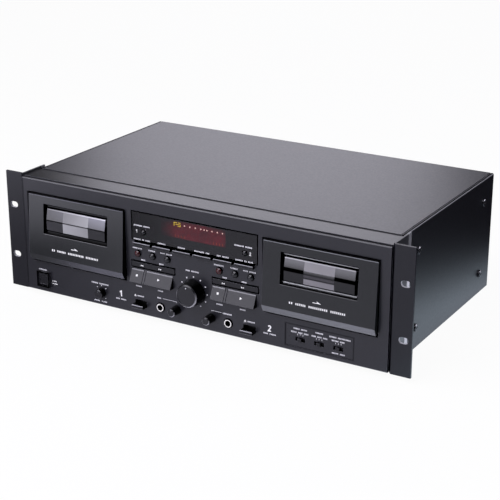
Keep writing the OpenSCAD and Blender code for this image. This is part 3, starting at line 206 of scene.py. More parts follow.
class DeckSizes(bpy.types.PropertyGroup):
    """Sizes of the printed marks and of the small pieces that the solids leave out."""
    ink_rise: length("Ink rise", "How far printed ink stands on the face", 0.06)
    ink_sink: length("Ink sink", "How far printed ink reaches into the face", 0.05)
    legend_h: length("Legend height", "Height of the plain blocks in the legends' places", 1.45)
    numeral_h: length("Numeral height", "Height of the two deck numerals", 6.6)
    small_numeral_h: length("Small numeral height", "Height of the counter numerals", 3.6)
    dial_r: length("Dial radius", "Radius of the dots round the record level knob", 16.3)
    dial_dot_r: length("Dial dot radius", "Radius of one dial dot", 0.75)
    band_w: length("Clear band width", "Width of the clear middle of a door window", 33.0)
    collar_r: length("Collar radius", "Outer radius of the coloured phono collars", 6.6)


class DeckColours(bpy.types.PropertyGroup):
    """Colours of the finishes."""
    coat: colour("Powder coat", "Cover, rear panel and ears", "#121217")
    panel: colour("Panel", "Moulded front panel", "#18181d")
    door: colour("Door", "Moulded doors", "#0f1112")
    key: colour("Key", "Transport keys", "#252528")
    button: colour("Button", "Round buttons, rockers and sliders", "#0f0f12")
    record: colour("Record", "Record buttons", "#30080c")
    knob: colour("Knob", "Knobs", "#0f0f12")
    filter: colour("Filter", "Display filter", "#6a646c")
    glow: colour("Glow", "Lit ground of the display", "#c80e34")
    ink: colour("Ink", "Numerals and icons", "#f4f4f2")
    legend: colour("Legend ink", "Legend bars and dial dots", "#ececf0")


class DeckStage(bpy.types.PropertyGroup):
    """Camera and lights."""
    azimuth: bpy.props.FloatProperty(name="Azimuth", description="Camera's turn to the right of the front",
                                     default=radians(30.49), subtype="ANGLE")
    elevation: bpy.props.FloatProperty(name="Elevation", description="Camera's angle above level",
                                       default=radians(20.21), subtype="ANGLE")
    place: bpy.props.FloatVectorProperty(name="Place", description="Camera's place", subtype="TRANSLATION",
                                         default=(0.6966, -1.19775, 0.5611))
    lens: bpy.props.FloatProperty(name="Lens", description="Focal length on a 36 mm sensor, in mm",
                                  default=97.08)
    floor: colour("Floor", "Pale studio floor", "#e8e8ea")
    light: colour("Light", "Colour of the soft lights", "#f5f3ff")
    mirrored: colour("Mirrored floor", "Colour of the floor in reflections", "#f0efff")
    mirrored_right: colour("Mirrored floor, right", "Colour of the floor in reflections at the right",
                           "#dcecfc")
    room: bpy.props.FloatProperty(name="Room", description="Strength of the dim room round the stage",
                                  default=0.03, min=0)


def add(tree, kind, sockets=(), **settings):
    """Adds one node with its settings.

    sockets gives its inputs in order, or by name: each a value, or the node or output that feeds it.
    """
    made = tree.nodes.new("ShaderNode" + kind)
    for key, value in settings.items():
        setattr(made, key, value)
    for key, value in sockets.items() if isinstance(sockets, dict) else enumerate(sockets):
        if isinstance(value, bpy.types.Node):
            value = next(one for one in value.outputs if one.enabled)
        if isinstance(value, bpy.types.NodeSocket):
            tree.links.new(value, made.inputs[key])
        else:
            made.inputs[key].default_value = value
    return made


def finished(name, finish, *given, **settings):
    """A new material: the finish adds its nodes, from Object coordinates on, and gives back the last one."""
    made = bpy.data.materials.new(name)
    made.use_nodes = True
    tree = made.node_tree
    tree.nodes.clear()
    where = add(tree, "TexCoord").outputs["Object"]
    add(tree, "OutputMaterial", {"Surface": finish(tree, where, *given, **settings)})
    return made


def per_mm(size):
    """Noise scale for features of that many millimetres, on Object coordinates in metres."""
    return 1 / (size * MM)


def measures(tree, where, face=None):
    """The measures that a mask goes by.

    place is a point on the deck's axes, x, y and z are its parts, and side is x without its sign. nx, ny and
    nz are the way that the surface faces. With a face, right, up and out are the point's place from the
    face's origin, along the face's own axes.
    """
    off = add(tree, "VectorMath", (where, tuple(ORIGIN)), operation="SUBTRACT")
    by = {"place": add(tree, "VectorMath", {0: off, "Scale": 1 / MM}, operation="SCALE")}
    for stem, vector in (("", by["place"]), ("n", add(tree, "NewGeometry").outputs["True Normal"])):
        parts = add(tree, "SeparateXYZ", (vector,)).outputs
        by.update({stem + axis.lower(): parts[axis] for axis in "XYZ"})
    by["side"] = add(tree, "Math", (by["x"],), operation="ABSOLUTE")
    if face:
        start = add(tree, "VectorMath", (by["place"], face.origin), operation="SUBTRACT")
        for name, axis in zip(("right", "up", "out"), ((1, 0, 0), face.up, face.out)):
            by[name] = add(tree, "VectorMath", (start, axis), operation="DOT_PRODUCT")
    return by


def zones(tree, by, *parts):
    """A mask: the greatest of its parts' shares, and 0 where none holds.

    Each part is (share, limits). The share is a number, or (measure, m0, m1, share at m0, share at m1) where
    it grades between m0 and m1. It holds where each measure named in the limits lies between its low and
    its high, with None for no limit on that side.
    """
    total = None
    for share, limits in parts:
        if isinstance(share, tuple):
            share = add(tree, "MapRange", (by[share[0]], *share[1:]))
        for key, (low, high) in limits.items():
            if low is None:
                test = add(tree, "Math", (by[key], high), operation="LESS_THAN")
            elif high is None:
                test = add(tree, "Math", (by[key], low), operation="GREATER_THAN")
            else:
                test = add(tree, "Math", (by[key], (low + high) / 2, (high - low) / 2), operation="COMPARE")
            share = add(tree, "Math", (share, test), operation="MULTIPLY")
        total = share if total is None else add(tree, "Math", (total, share), operation="MAXIMUM")
    return total


def around(middle, reach):
    """Limits that far to both sides of the middle."""
    return middle - reach, middle + reach


# Masks, in the parts that zones takes. The ears' flanges show pale bare zinc on their last 6.7 mm, from 33.5
# mm behind the panel's face, and a thin share of it on the rest. The pale tone is partly painted light, so
# that the flanges show light through the slots. Both fall to a fifth from 105 mm up to 112 mm, painted shade
# towards the top. Half of it is painted on the slots' walls as a highlight.
EAR_ZINC_SHADE_AND_HIGHLIGHT = ((("z", 105.0, 112.0, 1.0, 0.2), {"side": (None, EAR_X), "y": (33.5, None)}),
            (("z", 105.0, 112.0, 0.12, 0.024), {"side": (None, EAR_X), "y": (6.0, None)}),
            (0.5, {"side": around(SLOT_X, 6.0), "ny": (-0.3, 0.3), "z": (6.0, 126.0)}))
# Painted shadow, near-black, on the chassis's side walls up to 1 mm inside the cover's sides, which begin 48
# mm back.
WALL_FRONT_SHADOW = ((1.0, {"side": (COVER_X - 1.6, None), "y": (None, 49.0)}),)
# Painted highlight: a pale line on the last 0.8 mm of the cover's top, where it bends down into the right
# side.
COVER_EDGE_HIGHLIGHT = ((1.0, {"x": (COVER_X - 0.8, None), "z": (COVER_Z - 1.0, None)}),)
# Painted shade, dark lines along the bends at the cover's side edges: 1 to 3 mm inside the right edge, and
# from the left edge to 2.4 mm inside it.
COVER_BEND_SHADE = [(0.97, {"x": across, "z": (COVER_Z - 1.0, None)})
                for across in (around(COVER_X - 2.0, 1.0), (None, 2.4 - COVER_X))]
# Painted shade on the panel: the walls of its openings and the front of the power button's raised frame are
# black, and give nothing back. Less is given back, as painted shade, from the skirt's top, from the seam,
# from the strip in the left door's shadow, and from the step round the switch field, STEP_R to both sides of
# its outline.
STEP_R = 0.8
PLATE = {"x": (-216.0, 216.0), "z": (4.0, 126.0)}
PANEL_SHADE = [
    (1.0, {**PLATE, "y": (0.7, 21.3)}), (1.0, {**PLATE, "y": (0.02, None), "ny": (-0.5, None)}),
    (1.0, {"x": around(POWER_X, 11.0), "z": around(POWER_Z, 9.5), "y": (None, -0.1), "ny": (None, -0.9)}),
    (0.7, {"nz": (0.8, None)}), (0.45, {"x": (None, SEAM_X)}),
    (0.75, {"x": around(GAP_X, 1.5), "z": around(WINDOW_Z, 26.5)})]
for end in (-1, 1):
    PANEL_SHADE += [
        (0.5, {"x": around(FIELD_X + end * FIELD_W, STEP_R), "z": around(FIELD_Z, FIELD_H + STEP_R)}),
        (0.5, {"x": around(FIELD_X, FIELD_W + STEP_R), "z": around(FIELD_Z + end * FIELD_H, STEP_R)})]
# Painted shade: black along a rocker's lower and upper edge.
ROCKER_SHADE = ((1.0, {"z": (None, 54.6)}), (1.0, {"z": (ROCKER_TOP - 0.7, None)}))
# What doesn't face the front: the sides of knobs, buttons and keys stand in their own shadow.
DARK_SIDE = ((("ny", -0.6, -0.4, 0.0, 0.93), {}),)
# Painted highlight on the uppermost 1.1 mm of a transport key.
KEY_CREST_HIGHLIGHT = ((0.4, {"z": (KEY_TOP - 1.1, None)}),)
# Painted highlight on the bevel between a front and its top, which faces up by about 45 degrees.
UPPER_BEVEL_HIGHLIGHT = ((1.0, {"nz": (0.55, 0.85)}),)
# Painted highlight on the lower half of a knob's bevel, which faces the front by about 50 degrees, fading to
# its upper half.
LOWER_RIM_HIGHLIGHT = ((("nz", 0.4, -0.4, 0.0, 1.0), {"ny": (-0.73, -0.57)}),)
# Painted shade: black on a door's side walls and upper edge, and on the recess round its window below a
# quarter millimetre.
DOOR_SHADE = ((1.0, {"right": (-42.5, 42.5), "up": (-17.0, 17.0), "out": (-10.25, -0.25)}),
              (1.0, {"up": (25.3, None)}), (1.0, {"nx": (None, -0.6)}), (1.0, {"nx": (0.6, None)}))


def door_highlight(side):
    """Painted highlight on a door's lip, below the edge where its face turns under, and on the face's upper
    edge.

    The lip's share grows to the right, from nothing on the left door and from 0.8 on the right one.
    """
    return ((("right", -42.0, 30.0, 0.4 + 0.4 * side, 1.0), {"up": (None, LIP_Z - WINDOW_Z)}),
            (1.0, {"up": (24.5, 25.3)}))


def skin(tree, where, base, edge, rough, grain, relief, bevel, mottle=18.0, bare=None, hollow=None, face=None,
         **fixed):
    """Moulded or coated skin.

    Fine noise of the grain's size lifts the normal and spreads the roughness, slow noise of the mottle's size
    moves the colour a little, and where the rounded normal leaves the flat one, the edge colour shows, as
    wear and as a painted highlight. A mask for bare metal and painted highlights, with its colour, shows that
    colour by its share. A mask for painted shade gives black as a colour and as a mirror: there nothing is
    given back. face is the one that they go by.
    """
    base = linear(base)
    fine = add(tree, "TexNoise", {"Vector": where, "Scale": per_mm(grain), "Detail": 2.0, "Roughness": 0.6})
    slow = add(tree, "TexNoise", {"Vector": where, "Scale": per_mm(mottle), "Detail": 3.0,
                                  "Roughness": 0.55})
    rounded = add(tree, "Bevel", {"Radius": bevel * MM}, samples=4)
    flat = add(tree, "NewGeometry").outputs["Normal"]
    same = add(tree, "VectorMath", (rounded, flat), operation="DOT_PRODUCT")
    worn_and_highlit = add(tree, "MapRange", (same, 0.99, 0.8, 0, 0.7))
    tint = add(tree, "MixRGB", (slow, base, times(1.35, base)))
    shade = add(tree, "MixRGB", (worn_and_highlit, tint, linear(edge)))
    dull = add(tree, "MapRange", (fine, 0.3, 0.7, rough - 0.03, rough + 0.03))
    bump = add(tree, "Bump", {"Height": fine, "Strength": relief, "Distance": 0.1 * MM, "Normal": rounded})
    if bare:
        share = zones(tree, measures(tree, where, face), *bare[0])
        shade = add(tree, "MixRGB", (share, shade, linear(bare[1])))
    if hollow:
        fixed["Metallic"] = zones(tree, measures(tree, where, face), *hollow)
        shade = add(tree, "MixRGB", (fixed["Metallic"], shade, BLACK))
    return add(tree, "BsdfPrincipled", {"Base Color": shade, "Roughness": dull, "Normal": bump, **fixed})


def metal(tree, where, base, dark, rough, line, relief, stretch=(1, 1, 1), bright=1.0, coated=None):
    """Drawn, rolled or turned metal: noise pulled out along the tool's path gives lines in gloss and relief.

    bright is the share that mirrors; a passivated coat scatters the rest like paint. The last mask marks
    painted
    shadow: near-black where the metal stands in shade.
    """
    path = add(tree, "Mapping", {"Vector": where, "Scale": stretch})
    lines = add(tree, "TexNoise", {"Vector": path, "Scale": per_mm(line), "Detail": 3.0})
    slow = add(tree, "TexNoise", {"Vector": where, "Scale": per_mm(14), "Detail": 3.0})
    tint = add(tree, "MixRGB", (slow, linear(dark), linear(base)))
    if coated:
        share = zones(tree, measures(tree, where), *coated)
        tint = add(tree, "MixRGB", (share, tint, linear("#08080a")))
    dull = add(tree, "MapRange", (lines, 0.3, 0.7, rough * 0.7, rough * 1.3))
    rounded = add(tree, "Bevel", {"Radius": 0.25 * MM}, samples=4)
    bump = add(tree, "Bump", {"Height": lines, "Strength": relief, "Distance": 0.05 * MM, "Normal": rounded})
    return add(tree, "BsdfPrincipled", {"Base Color": tint, "Metallic": bright, "Roughness": dull,
                                        "Normal": bump})


def jack_nickel(tree, where):
    """Turned and plated jack: a bright, warm white face within JACK_R of its axis, and the rest of it black.

    The face's white is a painted reflection: the plate is satin and half paint-like, so it stays bright
    against a dark room. Its rings are 0.4 mm apart.
    """
    by = measures(tree, where)
    flat = add(tree, "CombineXYZ", {"X": by["side"], "Z": by["z"]})
    by["away"] = add(tree, "VectorMath", (flat, (JACK_X, 0.0, JACK_Z)), operation="DISTANCE")
    bush = zones(tree, by, (1.0, {"away": (None, JACK_R), "ny": (None, -0.4), "y": (None, 1.0)}))
    rings = add(tree, "TexNoise", {"Vector": add(tree, "CombineXYZ", {"X": by["away"]}), "Scale": 1 / 0.4,
                                   "Detail": 2.0})
    tint = add(tree, "MixRGB", (bush, linear("#060607"), linear("#f2f0ea")))
    dull = add(tree, "MapRange", (rings, 0, 1, 0.25, 0.5))
    return add(tree, "BsdfPrincipled", {"Base Color": tint, "Metallic": 0.35, "Roughness": dull})


def smoked_acrylic(tree, where, side, band, border_reflection):
    """Moulded acrylic, smoke-tinted by a graded colour on its back, with a clear middle and a black border.

    The eye gets hard, clean reflections over a dark ground, a paler square-edged middle as wide as band, a
    dark line along the ridge between the two facets, a light upper edge, faint moulding flow and fine wiping
    marks in the gloss. The graded colour, the dark line and the light edge are painted reflection, shade and
    highlight, different on each door. The black border, which gives nothing back, is painted shade, and it
    holds one painted reflection line of the given colour along its upper and lower edge.
    """
    by = measures(tree, where, door_face(side, WINDOW_Z))
    middle = zones(tree, by, (1.0, {"right": around(0.0, band / 2)}))
    lens = zones(tree, by, (1.0, {"right": around(0.0, LENS_W), "up": around(0.0, LENS_H)}))
    upper = zones(tree, by, (1.0, {"up": (-0.4, None)}))
    edge = zones(tree, by, *((1.0, {"up": around(z, 0.65)}) for z in (-REFLECTION_LINE_UP, REFLECTION_LINE_UP)))
    height = add(tree, "MapRange", (by["up"], -LENS_H, LENS_H))
    ramps = []
    for stops in (LENS_SIDES_AND_REFLECTION[side], LENS_MIDDLE_AND_REFLECTION[side]):
        ramps.append(add(tree, "ValToRGB", (height,)))
        marks = ramps[-1].color_ramp.elements
        marks.remove(marks[1])
        for (z, code, gloss), mark in zip(stops, [marks[0]] + [marks.new(0.5) for _ in stops[1:]]):
            mark.position = (z + LENS_H) / (2 * LENS_H)
            mark.color = (*linear(code)[:3], gloss)
    tint = add(tree, "MixRGB", (middle, ramps[0], ramps[1]))
    gloss = add(tree, "MapRange", (middle, 0, 1, ramps[0].outputs["Alpha"], ramps[1].outputs["Alpha"]))
    border = add(tree, "MixRGB", (edge, BLACK, linear(border_reflection)))
    flow = add(tree, "TexNoise", {"Vector": where, "Scale": per_mm(22), "Detail": 2.0})
    uneven = add(tree, "MapRange", (flow, 0, 1, 0.9, 1.1))
    ends = [add(tree, "MapRange", (upper, 0, 1, low, high)) for low, high in zip(*LENS_REFLECTION_GRADE[side])]
    grade = zones(tree, by, (("right", -38.0, 38.0, *ends), {}))
    depth = add(tree, "Math", (uneven, grade), operation="MULTIPLY")
    framed = add(tree, "MixRGB", (lens, border, tint))
    shade = add(tree, "VectorMath", {0: framed, "Scale": depth}, operation="SCALE")
    polish = add(tree, "MapRange", (lens, 0, 1, edge, gloss))
    black = add(tree, "Math", (1.0, polish), operation="SUBTRACT")
    wipe = add(tree, "TexNoise", {"Vector": where, "Scale": per_mm(1.2), "Detail": 4.0})
    dull = add(tree, "MapRange", (wipe, 0, 1, 0.06, 0.14))
    return add(tree, "BsdfPrincipled", {"Base Color": shade, "Roughness": dull, "Metallic": black,
                                        "IOR": 1.49})


def filter_acrylic(tree, where, base):
    """Cast acrylic display filter: dark, clear and polished, so the lit tube shows through a hard reflection.

    A black line along its edges, 0.8 mm wide, is painted shade: it gives nothing back.
    """
    cast = add(tree, "TexNoise", {"Vector": where, "Scale": per_mm(30), "Detail": 2.0})
    tint = add(tree, "MixRGB", (cast, linear(base), times(0.8, base)))
    dull = add(tree, "MapRange", (cast, 0, 1, 0.03, 0.08))
    low, high = deck_box("display_window")
    edges = [(1.0, {axis: limits}) for axis, i in (("x", 0), ("z", 2))
             for limits in ((None, low[i] + 0.8), (high[i] - 0.8, None))]
    line = zones(tree, measures(tree, where), *edges)
    edge_shaded = add(tree, "MixRGB", (line, tint, BLACK))
    return add(tree, "BsdfPrincipled", {"Base Color": edge_shaded, "Roughness": dull, "Metallic": line, "IOR": 1.49,
                                        "Transmission Weight": 1.0})


def ink(tree, where, base):
    """Screen-printed epoxy ink: flat and chalky, a little thin where the mesh of the screen held it back."""
    mesh = add(tree, "TexNoise", {"Vector": where, "Scale": per_mm(0.4), "Detail": 2.0})
    tint = add(tree, "MixRGB", (mesh, linear(base), times(0.8, linear(base))))
    dull = add(tree, "MapRange", (mesh, 0, 1, 0.5, 0.7))
    return add(tree, "BsdfPrincipled", {"Base Color": tint, "Roughness": dull})


def phosphor(tree, where, base, strength, cell, spread=None):
    """Phosphor on glass, lit from within: a glow broken by the fine wire grid in front of it.

    spread is the middle and the half width and height of a glow that dies away towards its edges, painted
    light on the display's red ground: at ((x - x0) / a, (z - z0) / b), further than 1 from the middle,
    nothing is left of it.
    """
    grid = add(tree, "TexNoise", {"Vector": where, "Scale": per_mm(cell), "Detail": 2.0})
    glow = add(tree, "MapRange", (grid, 0.3, 0.7, strength * 0.6, strength * 1.2))
    if spread:
        x, z, a, b = spread
        off = add(tree, "VectorMath", (measures(tree, where)["place"], (x, 0.0, z)), operation="SUBTRACT")
        share = add(tree, "VectorMath", (off, (1 / a, 0.0, 1 / b)), operation="MULTIPLY")
        away = add(tree, "VectorMath", (share,), operation="LENGTH")
        glow = add(tree, "MapRange", (away, 0.45, 1, glow, 0.0), interpolation_type="SMOOTHSTEP")
    return add(tree, "BsdfPrincipled", {"Base Color": times(0.2, linear(base)), "Roughness": 0.4,
                                        "Emission Color": linear(base), "Emission Strength": glow})


def lay(face, flat, height):
    """Points (x, up) in mm on a face, raised along its outward direction, as the deck's (x, y, z)."""
    flat = np.asarray(flat, float)
    return (np.array(face.origin) + flat[:, :1] * np.array([1, 0, 0]) + flat[:, 1:] * np.array(face.up)
            + height * np.array(face.out))


def prism(face, outline, strip=False):
    """Flat closed print: the outline's ring at the ink's rise and at its sink, a wall of quads and two caps.

    The outline runs anticlockwise. A strip's caps are quads that pair point k with the k-th from the end.
    """
    sizes = bpy.context.scene.deck_sizes
    n = len(outline)
    points = np.concatenate([lay(face, outline, rise / MM) for rise in (sizes.ink_rise, -sizes.ink_sink)])
    k = np.arange(n)
    j = (k + 1) % n
    walls = np.stack([k + n, j + n, j, k], 1).tolist()
    if strip:
        a = np.arange(n // 2 - 1)
        caps = np.stack([a, a + 1, n - 2 - a, n - 1 - a], 1)
        return points, walls + caps.tolist() + (caps[:, ::-1] + n).tolist()
    return points, walls + [k.tolist(), (k[::-1] + n).tolist()]


def words(face, x0, x1, z, shares=(), gap=1.4, height=None):
    """A row of plain upright blocks in a legend's place.

    The width, less the gaps, is shared out in proportion, and each share holds blocks about as far apart as
    they are high, each a little over half of that step wide.
    """
    h = height or bpy.context.scene.deck_sizes.legend_h / MM
    shares = np.array(shares or [1], float)
    run = (x1 - x0 - gap * (len(shares) - 1)) * shares / shares.sum()
    starts = x0 + np.cumsum(run) - run + gap * np.arange(len(shares))
    count = np.maximum(1, np.round(run / (0.95 * h))).astype(int)
    step = run / count
    middles = np.concatenate([a + d * (np.arange(n) + 0.5) for a, d, n in zip(starts, step, count)])
    return [block(face, x, z, w, h) for x, w in zip(middles, 0.58 * np.repeat(step, count))]


def disc(face, x, z, r, sides=20):
    """Round dot: points at equal angles on a circle."""
    t = np.linspace(0, 2 * np.pi, sides, endpoint=False)
    return prism(face, np.stack([x + r * np.cos(t), z + r * np.sin(t)], 1))


def dial(x, z, radius, dot, degrees):
    """Dots round a knob's axis, at angles a clockwise from the top: (x + radius sin a, z + radius cos a)."""
    t = np.radians(degrees)
    places = np.stack([x + radius * np.sin(t), z + radius * np.cos(t)], 1)
    return [disc(PANEL, *place, dot) for place in places]


def block(face, x, z, w, h):
    """Rectangle w wide and h high: its four corners at half of each from (x, z)."""
    return prism(face, np.array([[-w, -h], [w, -h], [w, h], [-w, h]]) / 2 + [x, z])


def polygon(face, x, z, corners):
    """Flat icon: its corners, anticlockwise, moved to (x, z)."""
    return prism(face, np.array(corners, float) + [x, z])


def stroke(face, path, width):
    """Ribbon along a path: each point moves half the width to both sides along its two segments' mitre.

    The mitre is (n1 + n2) / (1 + n1 . n2), with n1 and n2 the unit normals of the segments that meet there.
    """
    path = np.asarray(path, float)
    run = np.diff(path, axis=0)
    normal = np.stack([-run[:, 1], run[:, 0]], 1) / np.linalg.norm(run, axis=1, keepdims=True)
    n1 = np.concatenate([normal[:1], normal])
    n2 = np.concatenate([normal, normal[-1:]])
    side = (n1 + n2) / (1 + (n1 * n2).sum(1, keepdims=True)) * width / 2
    return prism(face, np.concatenate([path - side, (path + side)[::-1]]), strip=True)


def numeral(face, figure, x, z, height, weight=0.21):
    """The figure 1 or 2 as one stroke: a flag and stem, or an arc that runs down into a foot."""
    if figure == 1:
        path = np.array([[-0.27, 0.2], [0.03, 0.4], [0.03, -0.5]])
    else:
        t = np.radians(np.linspace(165, -40, 12))
        bow = np.stack([0.2 * np.cos(t), 0.22 + 0.2 * np.sin(t)], 1)
        path = np.concatenate([bow, [[-0.2, -0.42], [0.26, -0.42]]])
    return stroke(face, path * height + [x, z], height * weight)


def turned(profile, place, sides=48):
    """Closed ring: a closed (radius, depth) profile carried round the axis that runs back through place."""
    profile = np.asarray(profile, float)
    m = len(profile)
    t = np.linspace(0, 2 * np.pi, sides, endpoint=False)
    ring = np.stack([np.outer(np.cos(t), profile[:, 0]), np.tile(profile[:, 1], (sides, 1)),
                     np.outer(np.sin(t), profile[:, 0])], 2).reshape(-1, 3) + np.array(place, float)
    a, b = np.meshgrid(np.arange(sides), np.arange(m), indexing="ij")
    a2, b2 = (a + 1) % sides, (b + 1) % m
    quads = np.stack([a * m + b, a2 * m + b, a2 * m + b2, a * m + b2], 2).reshape(-1, 4)
    return ring, quads.tolist()


def dome(r, place, sides=32, rows=9):
    """Cap of a sphere on a short wall, with flat ends.

    At the angle t from its middle the cap has the radius R sin t and the height R (cos t - cos T), where T is
    the angle at the rim and R = r / sin T.
    """
    rim = radians(46)
    t = np.linspace(rim, 0.05, rows)
    radius = np.concatenate([[r], r / sin(rim) * np.sin(t)])
    depth = np.concatenate([[0.3], -r / sin(rim) * (np.cos(t) - cos(rim))])
    a = np.linspace(0, 2 * np.pi, sides, endpoint=False)
    points = np.stack([np.outer(radius, np.cos(a)), np.repeat(depth[:, None], sides, 1),
                       np.outer(radius, np.sin(a))], 2).reshape(-1, 3) + np.array(place, float)
    i, j = np.meshgrid(np.arange(rows), np.arange(sides), indexing="ij")
    k = (j + 1) % sides
    quads = np.stack([i * sides + j, i * sides + k, (i + 1) * sides + k, (i + 1) * sides + j], 2)
    ends = [np.arange(sides)[::-1].tolist(), (np.arange(sides) + rows * sides).tolist()]
    return points, quads.reshape(-1, 4).tolist() + ends


def piece(name, parts, material, body, smooth=False):
    """Joins closed parts, each (points in the deck's mm, faces), into one mesh that rides on a body."""
    starts = np.cumsum([0] + [len(points) for points, _ in parts])
    points = np.concatenate([points for points, _ in parts]) * MM + ORIGIN
    faces = [[i + start for i in one] for (_, faces), start in zip(parts, starts) for one in faces]
    mesh = bpy.data.meshes.new(name)
    mesh.from_pydata(points.tolist(), [], faces)
    mesh.materials.append(material)
    made = bpy.data.objects.new(name, mesh)
    bpy.context.scene.collection.objects.link(made)
    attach(made, body)
    if smooth:
        mesh.shade_smooth()


def dress(nodes, name, finish, *given, **settings):
    """Makes a material with that finish and puts it on CAD nodes through their own slots."""
    made = finished(name, finish, *given, **settings)
    for node in nodes:
        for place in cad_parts[node].material_slots:
            place.material = made


def pair(*stems):
    """Names of the two decks' nodes."""
    return [f"{stem}_{i}" for stem in stems for i in (1, 2)]


class DECK_OT_case(bpy.types.Operator):
    """Coats the sheet steel, screws and feet"""
    bl_idname = "deck.case"
    bl_label = "Case finishes"

    def execute(self, context):
        look = context.scene.deck_colours
        # Polyester powder coat, sprayed and baked: satin black with a slow orange peel and paler bent edges.
        # The peel is about 1.2 mm on the real coat and drawn at 2.2 mm, so that it shows.
        coat = {"base": look.coat, "edge": "#5a5a64", "rough": 0.36, "grain": 2.2, "relief": 0.03,
                "bevel": 0.5, "mottle": 60.0}
        # The cover's top gets a painted highlight and painted shade along its bends.
        dress(["top_cover", "rear_panel"], "powder_coat_baked", skin, **coat, bare=(COVER_EDGE_HIGHLIGHT, "#88888c"),
              hollow=COVER_BEND_SHADE)
        # The ears' flanges: pale zinc, partly painted light, with painted shade towards the top and a painted
        # highlight on the slots' walls.
        dress(["rack_ears"], "powder_coat_ears", skin, **coat, bare=(EAR_ZINC_SHADE_AND_HIGHLIGHT, "#dcdde2"), IOR=1.42)
        # Zinc-plated and passivated sheet, rolled: pale cool grey with lines along the roll, and near-black
        # painted shadow on the side walls' front, in the gap behind the ears.
        dress(["chassis_base", "transport_frames"], "zinc_sheet_rolled", metal, "#d8dade", "#b4b7bc",
              rough=0.42, line=0.8, relief=0.15, stretch=(1, 0.08, 1), bright=0.35, coated=WALL_FRONT_SHADOW)
        # Black zinc on turned steel: dark, with paler worn edges and a painted highlight on the upper bevel
        # of each head.
        dress(["case_screws"], "black_zinc_plated", skin, "#2a2a2e", "#c0c0c4", rough=0.3, grain=0.5,
              relief=0.05, bevel=0.3, bare=(UPPER_BEVEL_HIGHLIGHT, "#98989c"), Metallic=0.6)
        # Moulded rubber: dull, slightly dusty.
        dress(["feet", "drive_belts"], "rubber_moulded", skin, "#121213", "#242426", rough=0.78, grain=0.8,
              relief=0.3, bevel=0.5)
        return {"FINISHED"}


class DECK_OT_front(bpy.types.Operator):
    """Finishes the panel, the doors and the door windows"""
    bl_idname = "deck.front"
    bl_label = "Front finishes"

    def execute(self, context):
        look, sizes = context.scene.deck_colours, context.scene.deck_sizes
        # ABS moulded in a spark-eroded tool: satin black, a fine even grain, light on its edges.
        # The grain is about 0.15 mm on the real panel and drawn at 0.9 mm, so that it shows.
        grained = {"edge": "#84848e", "grain": 0.9, "relief": 0.03, "bevel": 0.35}
        # Painted shade lies in the panel's openings, on its skirt's top and along its seam, strip and step.
        dress(["front_panel"], "abs_panel_grained", skin, look.panel, **grained, rough=0.3,
              hollow=PANEL_SHADE, IOR=1.52)
        # The doors are smoother than the panel, and each has its own gloss, a painted highlight on its lip,
        # painted shade on its walls and round its window, and painted reflection in its window.
        for side, i, lip, border_reflection, index in ((-1, 1, "#4a4a52", "#060607", 1.62),
                                          (1, 2, "#6e7074", "#c8cacc", 1.53)):
            dress([f"door_{i}"], f"abs_door_grained_{i}", skin, look.door, **grained, rough=0.21,
                  bare=(door_highlight(side), lip), hollow=DOOR_SHADE, face=door_face(side, WINDOW_Z), IOR=index)
            dress([f"door_window_{i}"], f"acrylic_smoked_{i}", smoked_acrylic, side, sizes.band_w / MM, border_reflection)
        return {"FINISHED"}


class DECK_OT_controls(bpy.types.Operator):
    """Finishes the keys, buttons, knobs and sliders"""
    bl_idname = "deck.controls"
    bl_label = "Control finishes"

    def execute(self, context):
        look = context.scene.deck_colours
        # ABS moulded dark grey: satin, with light rims on the crisp key edges, a painted highlight along the
        # top and painted shade on the sides.
        dress(pair("stop_key", "play_key"), "abs_key_moulded", skin, look.key, "#8a8a90", rough=0.4,
              grain=0.7, relief=0.08, bevel=0.35, bare=(KEY_CREST_HIGHLIGHT, "#b0b0b4"), hollow=DARK_SIDE)
        # Thin bars moulded black: their upper bevels carry a painted highlight, one light line, and their
        # sides painted shade.
        dress(pair("return_key", "eject_key") + ["dimmer_key", "repeat_key", "parallel_key", "dub_key"],
              "abs_bar_moulded", skin, look.button, "#b4b4ba", rough=0.32, grain=0.7, relief=0.04, bevel=0.3,
              bare=(UPPER_BEVEL_HIGHLIGHT, "#85858b"), hollow=DARK_SIDE, IOR=1.4)
        # Black ABS, polished: dark, with small crisp highlights on the rims.
        polished = {"base": look.button, "edge": "#6a6a72", "rough": 0.24, "grain": 0.6, "relief": 0.04,
                    "bevel": 0.3}
        dress(pair("wind_rocker"), "abs_rocker_moulded", skin, **polished, hollow=ROCKER_SHADE, IOR=1.46)
        dress(["power_button", "play_mode_slider", "timer_slider", "noise_reduction_slider"],
              "abs_button_moulded", skin, **polished, IOR=1.45)
        # Round caps, the glossiest: a small bright spot on a dark dome, black, and dark red for recording.
        cap = {"rough": 0.2, "grain": 0.6, "relief": 0.03, "bevel": 0.2, "hollow": DARK_SIDE}
        dress(pair("pause_button", "mute_button", "counter_button") + ["pitch_knob"], "abs_cap_moulded", skin,
              look.button, "#4a4a50", **cap)
        dress(pair("record_button"), "abs_record_moulded", skin, look.record, "#6a2028", **cap)
        # Black ABS knobs: a satin face in a rim with a painted highlight, and a side in its own shadow,
        # painted dark.
        dress(["record_level_knob", "mic_level_knob", "phones_level_knob"], "abs_knob_moulded", skin,
              look.knob, "#3a3a40", rough=0.3, grain=0.6, relief=0.04, bevel=0.3,
              bare=(LOWER_RIM_HIGHLIGHT, "#b8b8be"), hollow=DARK_SIDE)
        return {"FINISHED"}


class DECK_OT_domes(bpy.types.Operator):
    """Domes the caps of the round buttons"""
    bl_idname = "deck.domes"
    bl_label = "Button domes"

    def execute(self, context):
        for name in pair("record_button", "pause_button", "mute_button", "counter_button"):
            low, high = deck_box(name)
            x, _, z = (low + high) / 2
            cap = dome((high[0] - low[0]) / 2 - DOME_RIM, (x, low[1], z))
            piece(f"{name}_dome", [cap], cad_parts[name].material_slots[0].material, name, smooth=True)
        return {"FINISHED"}


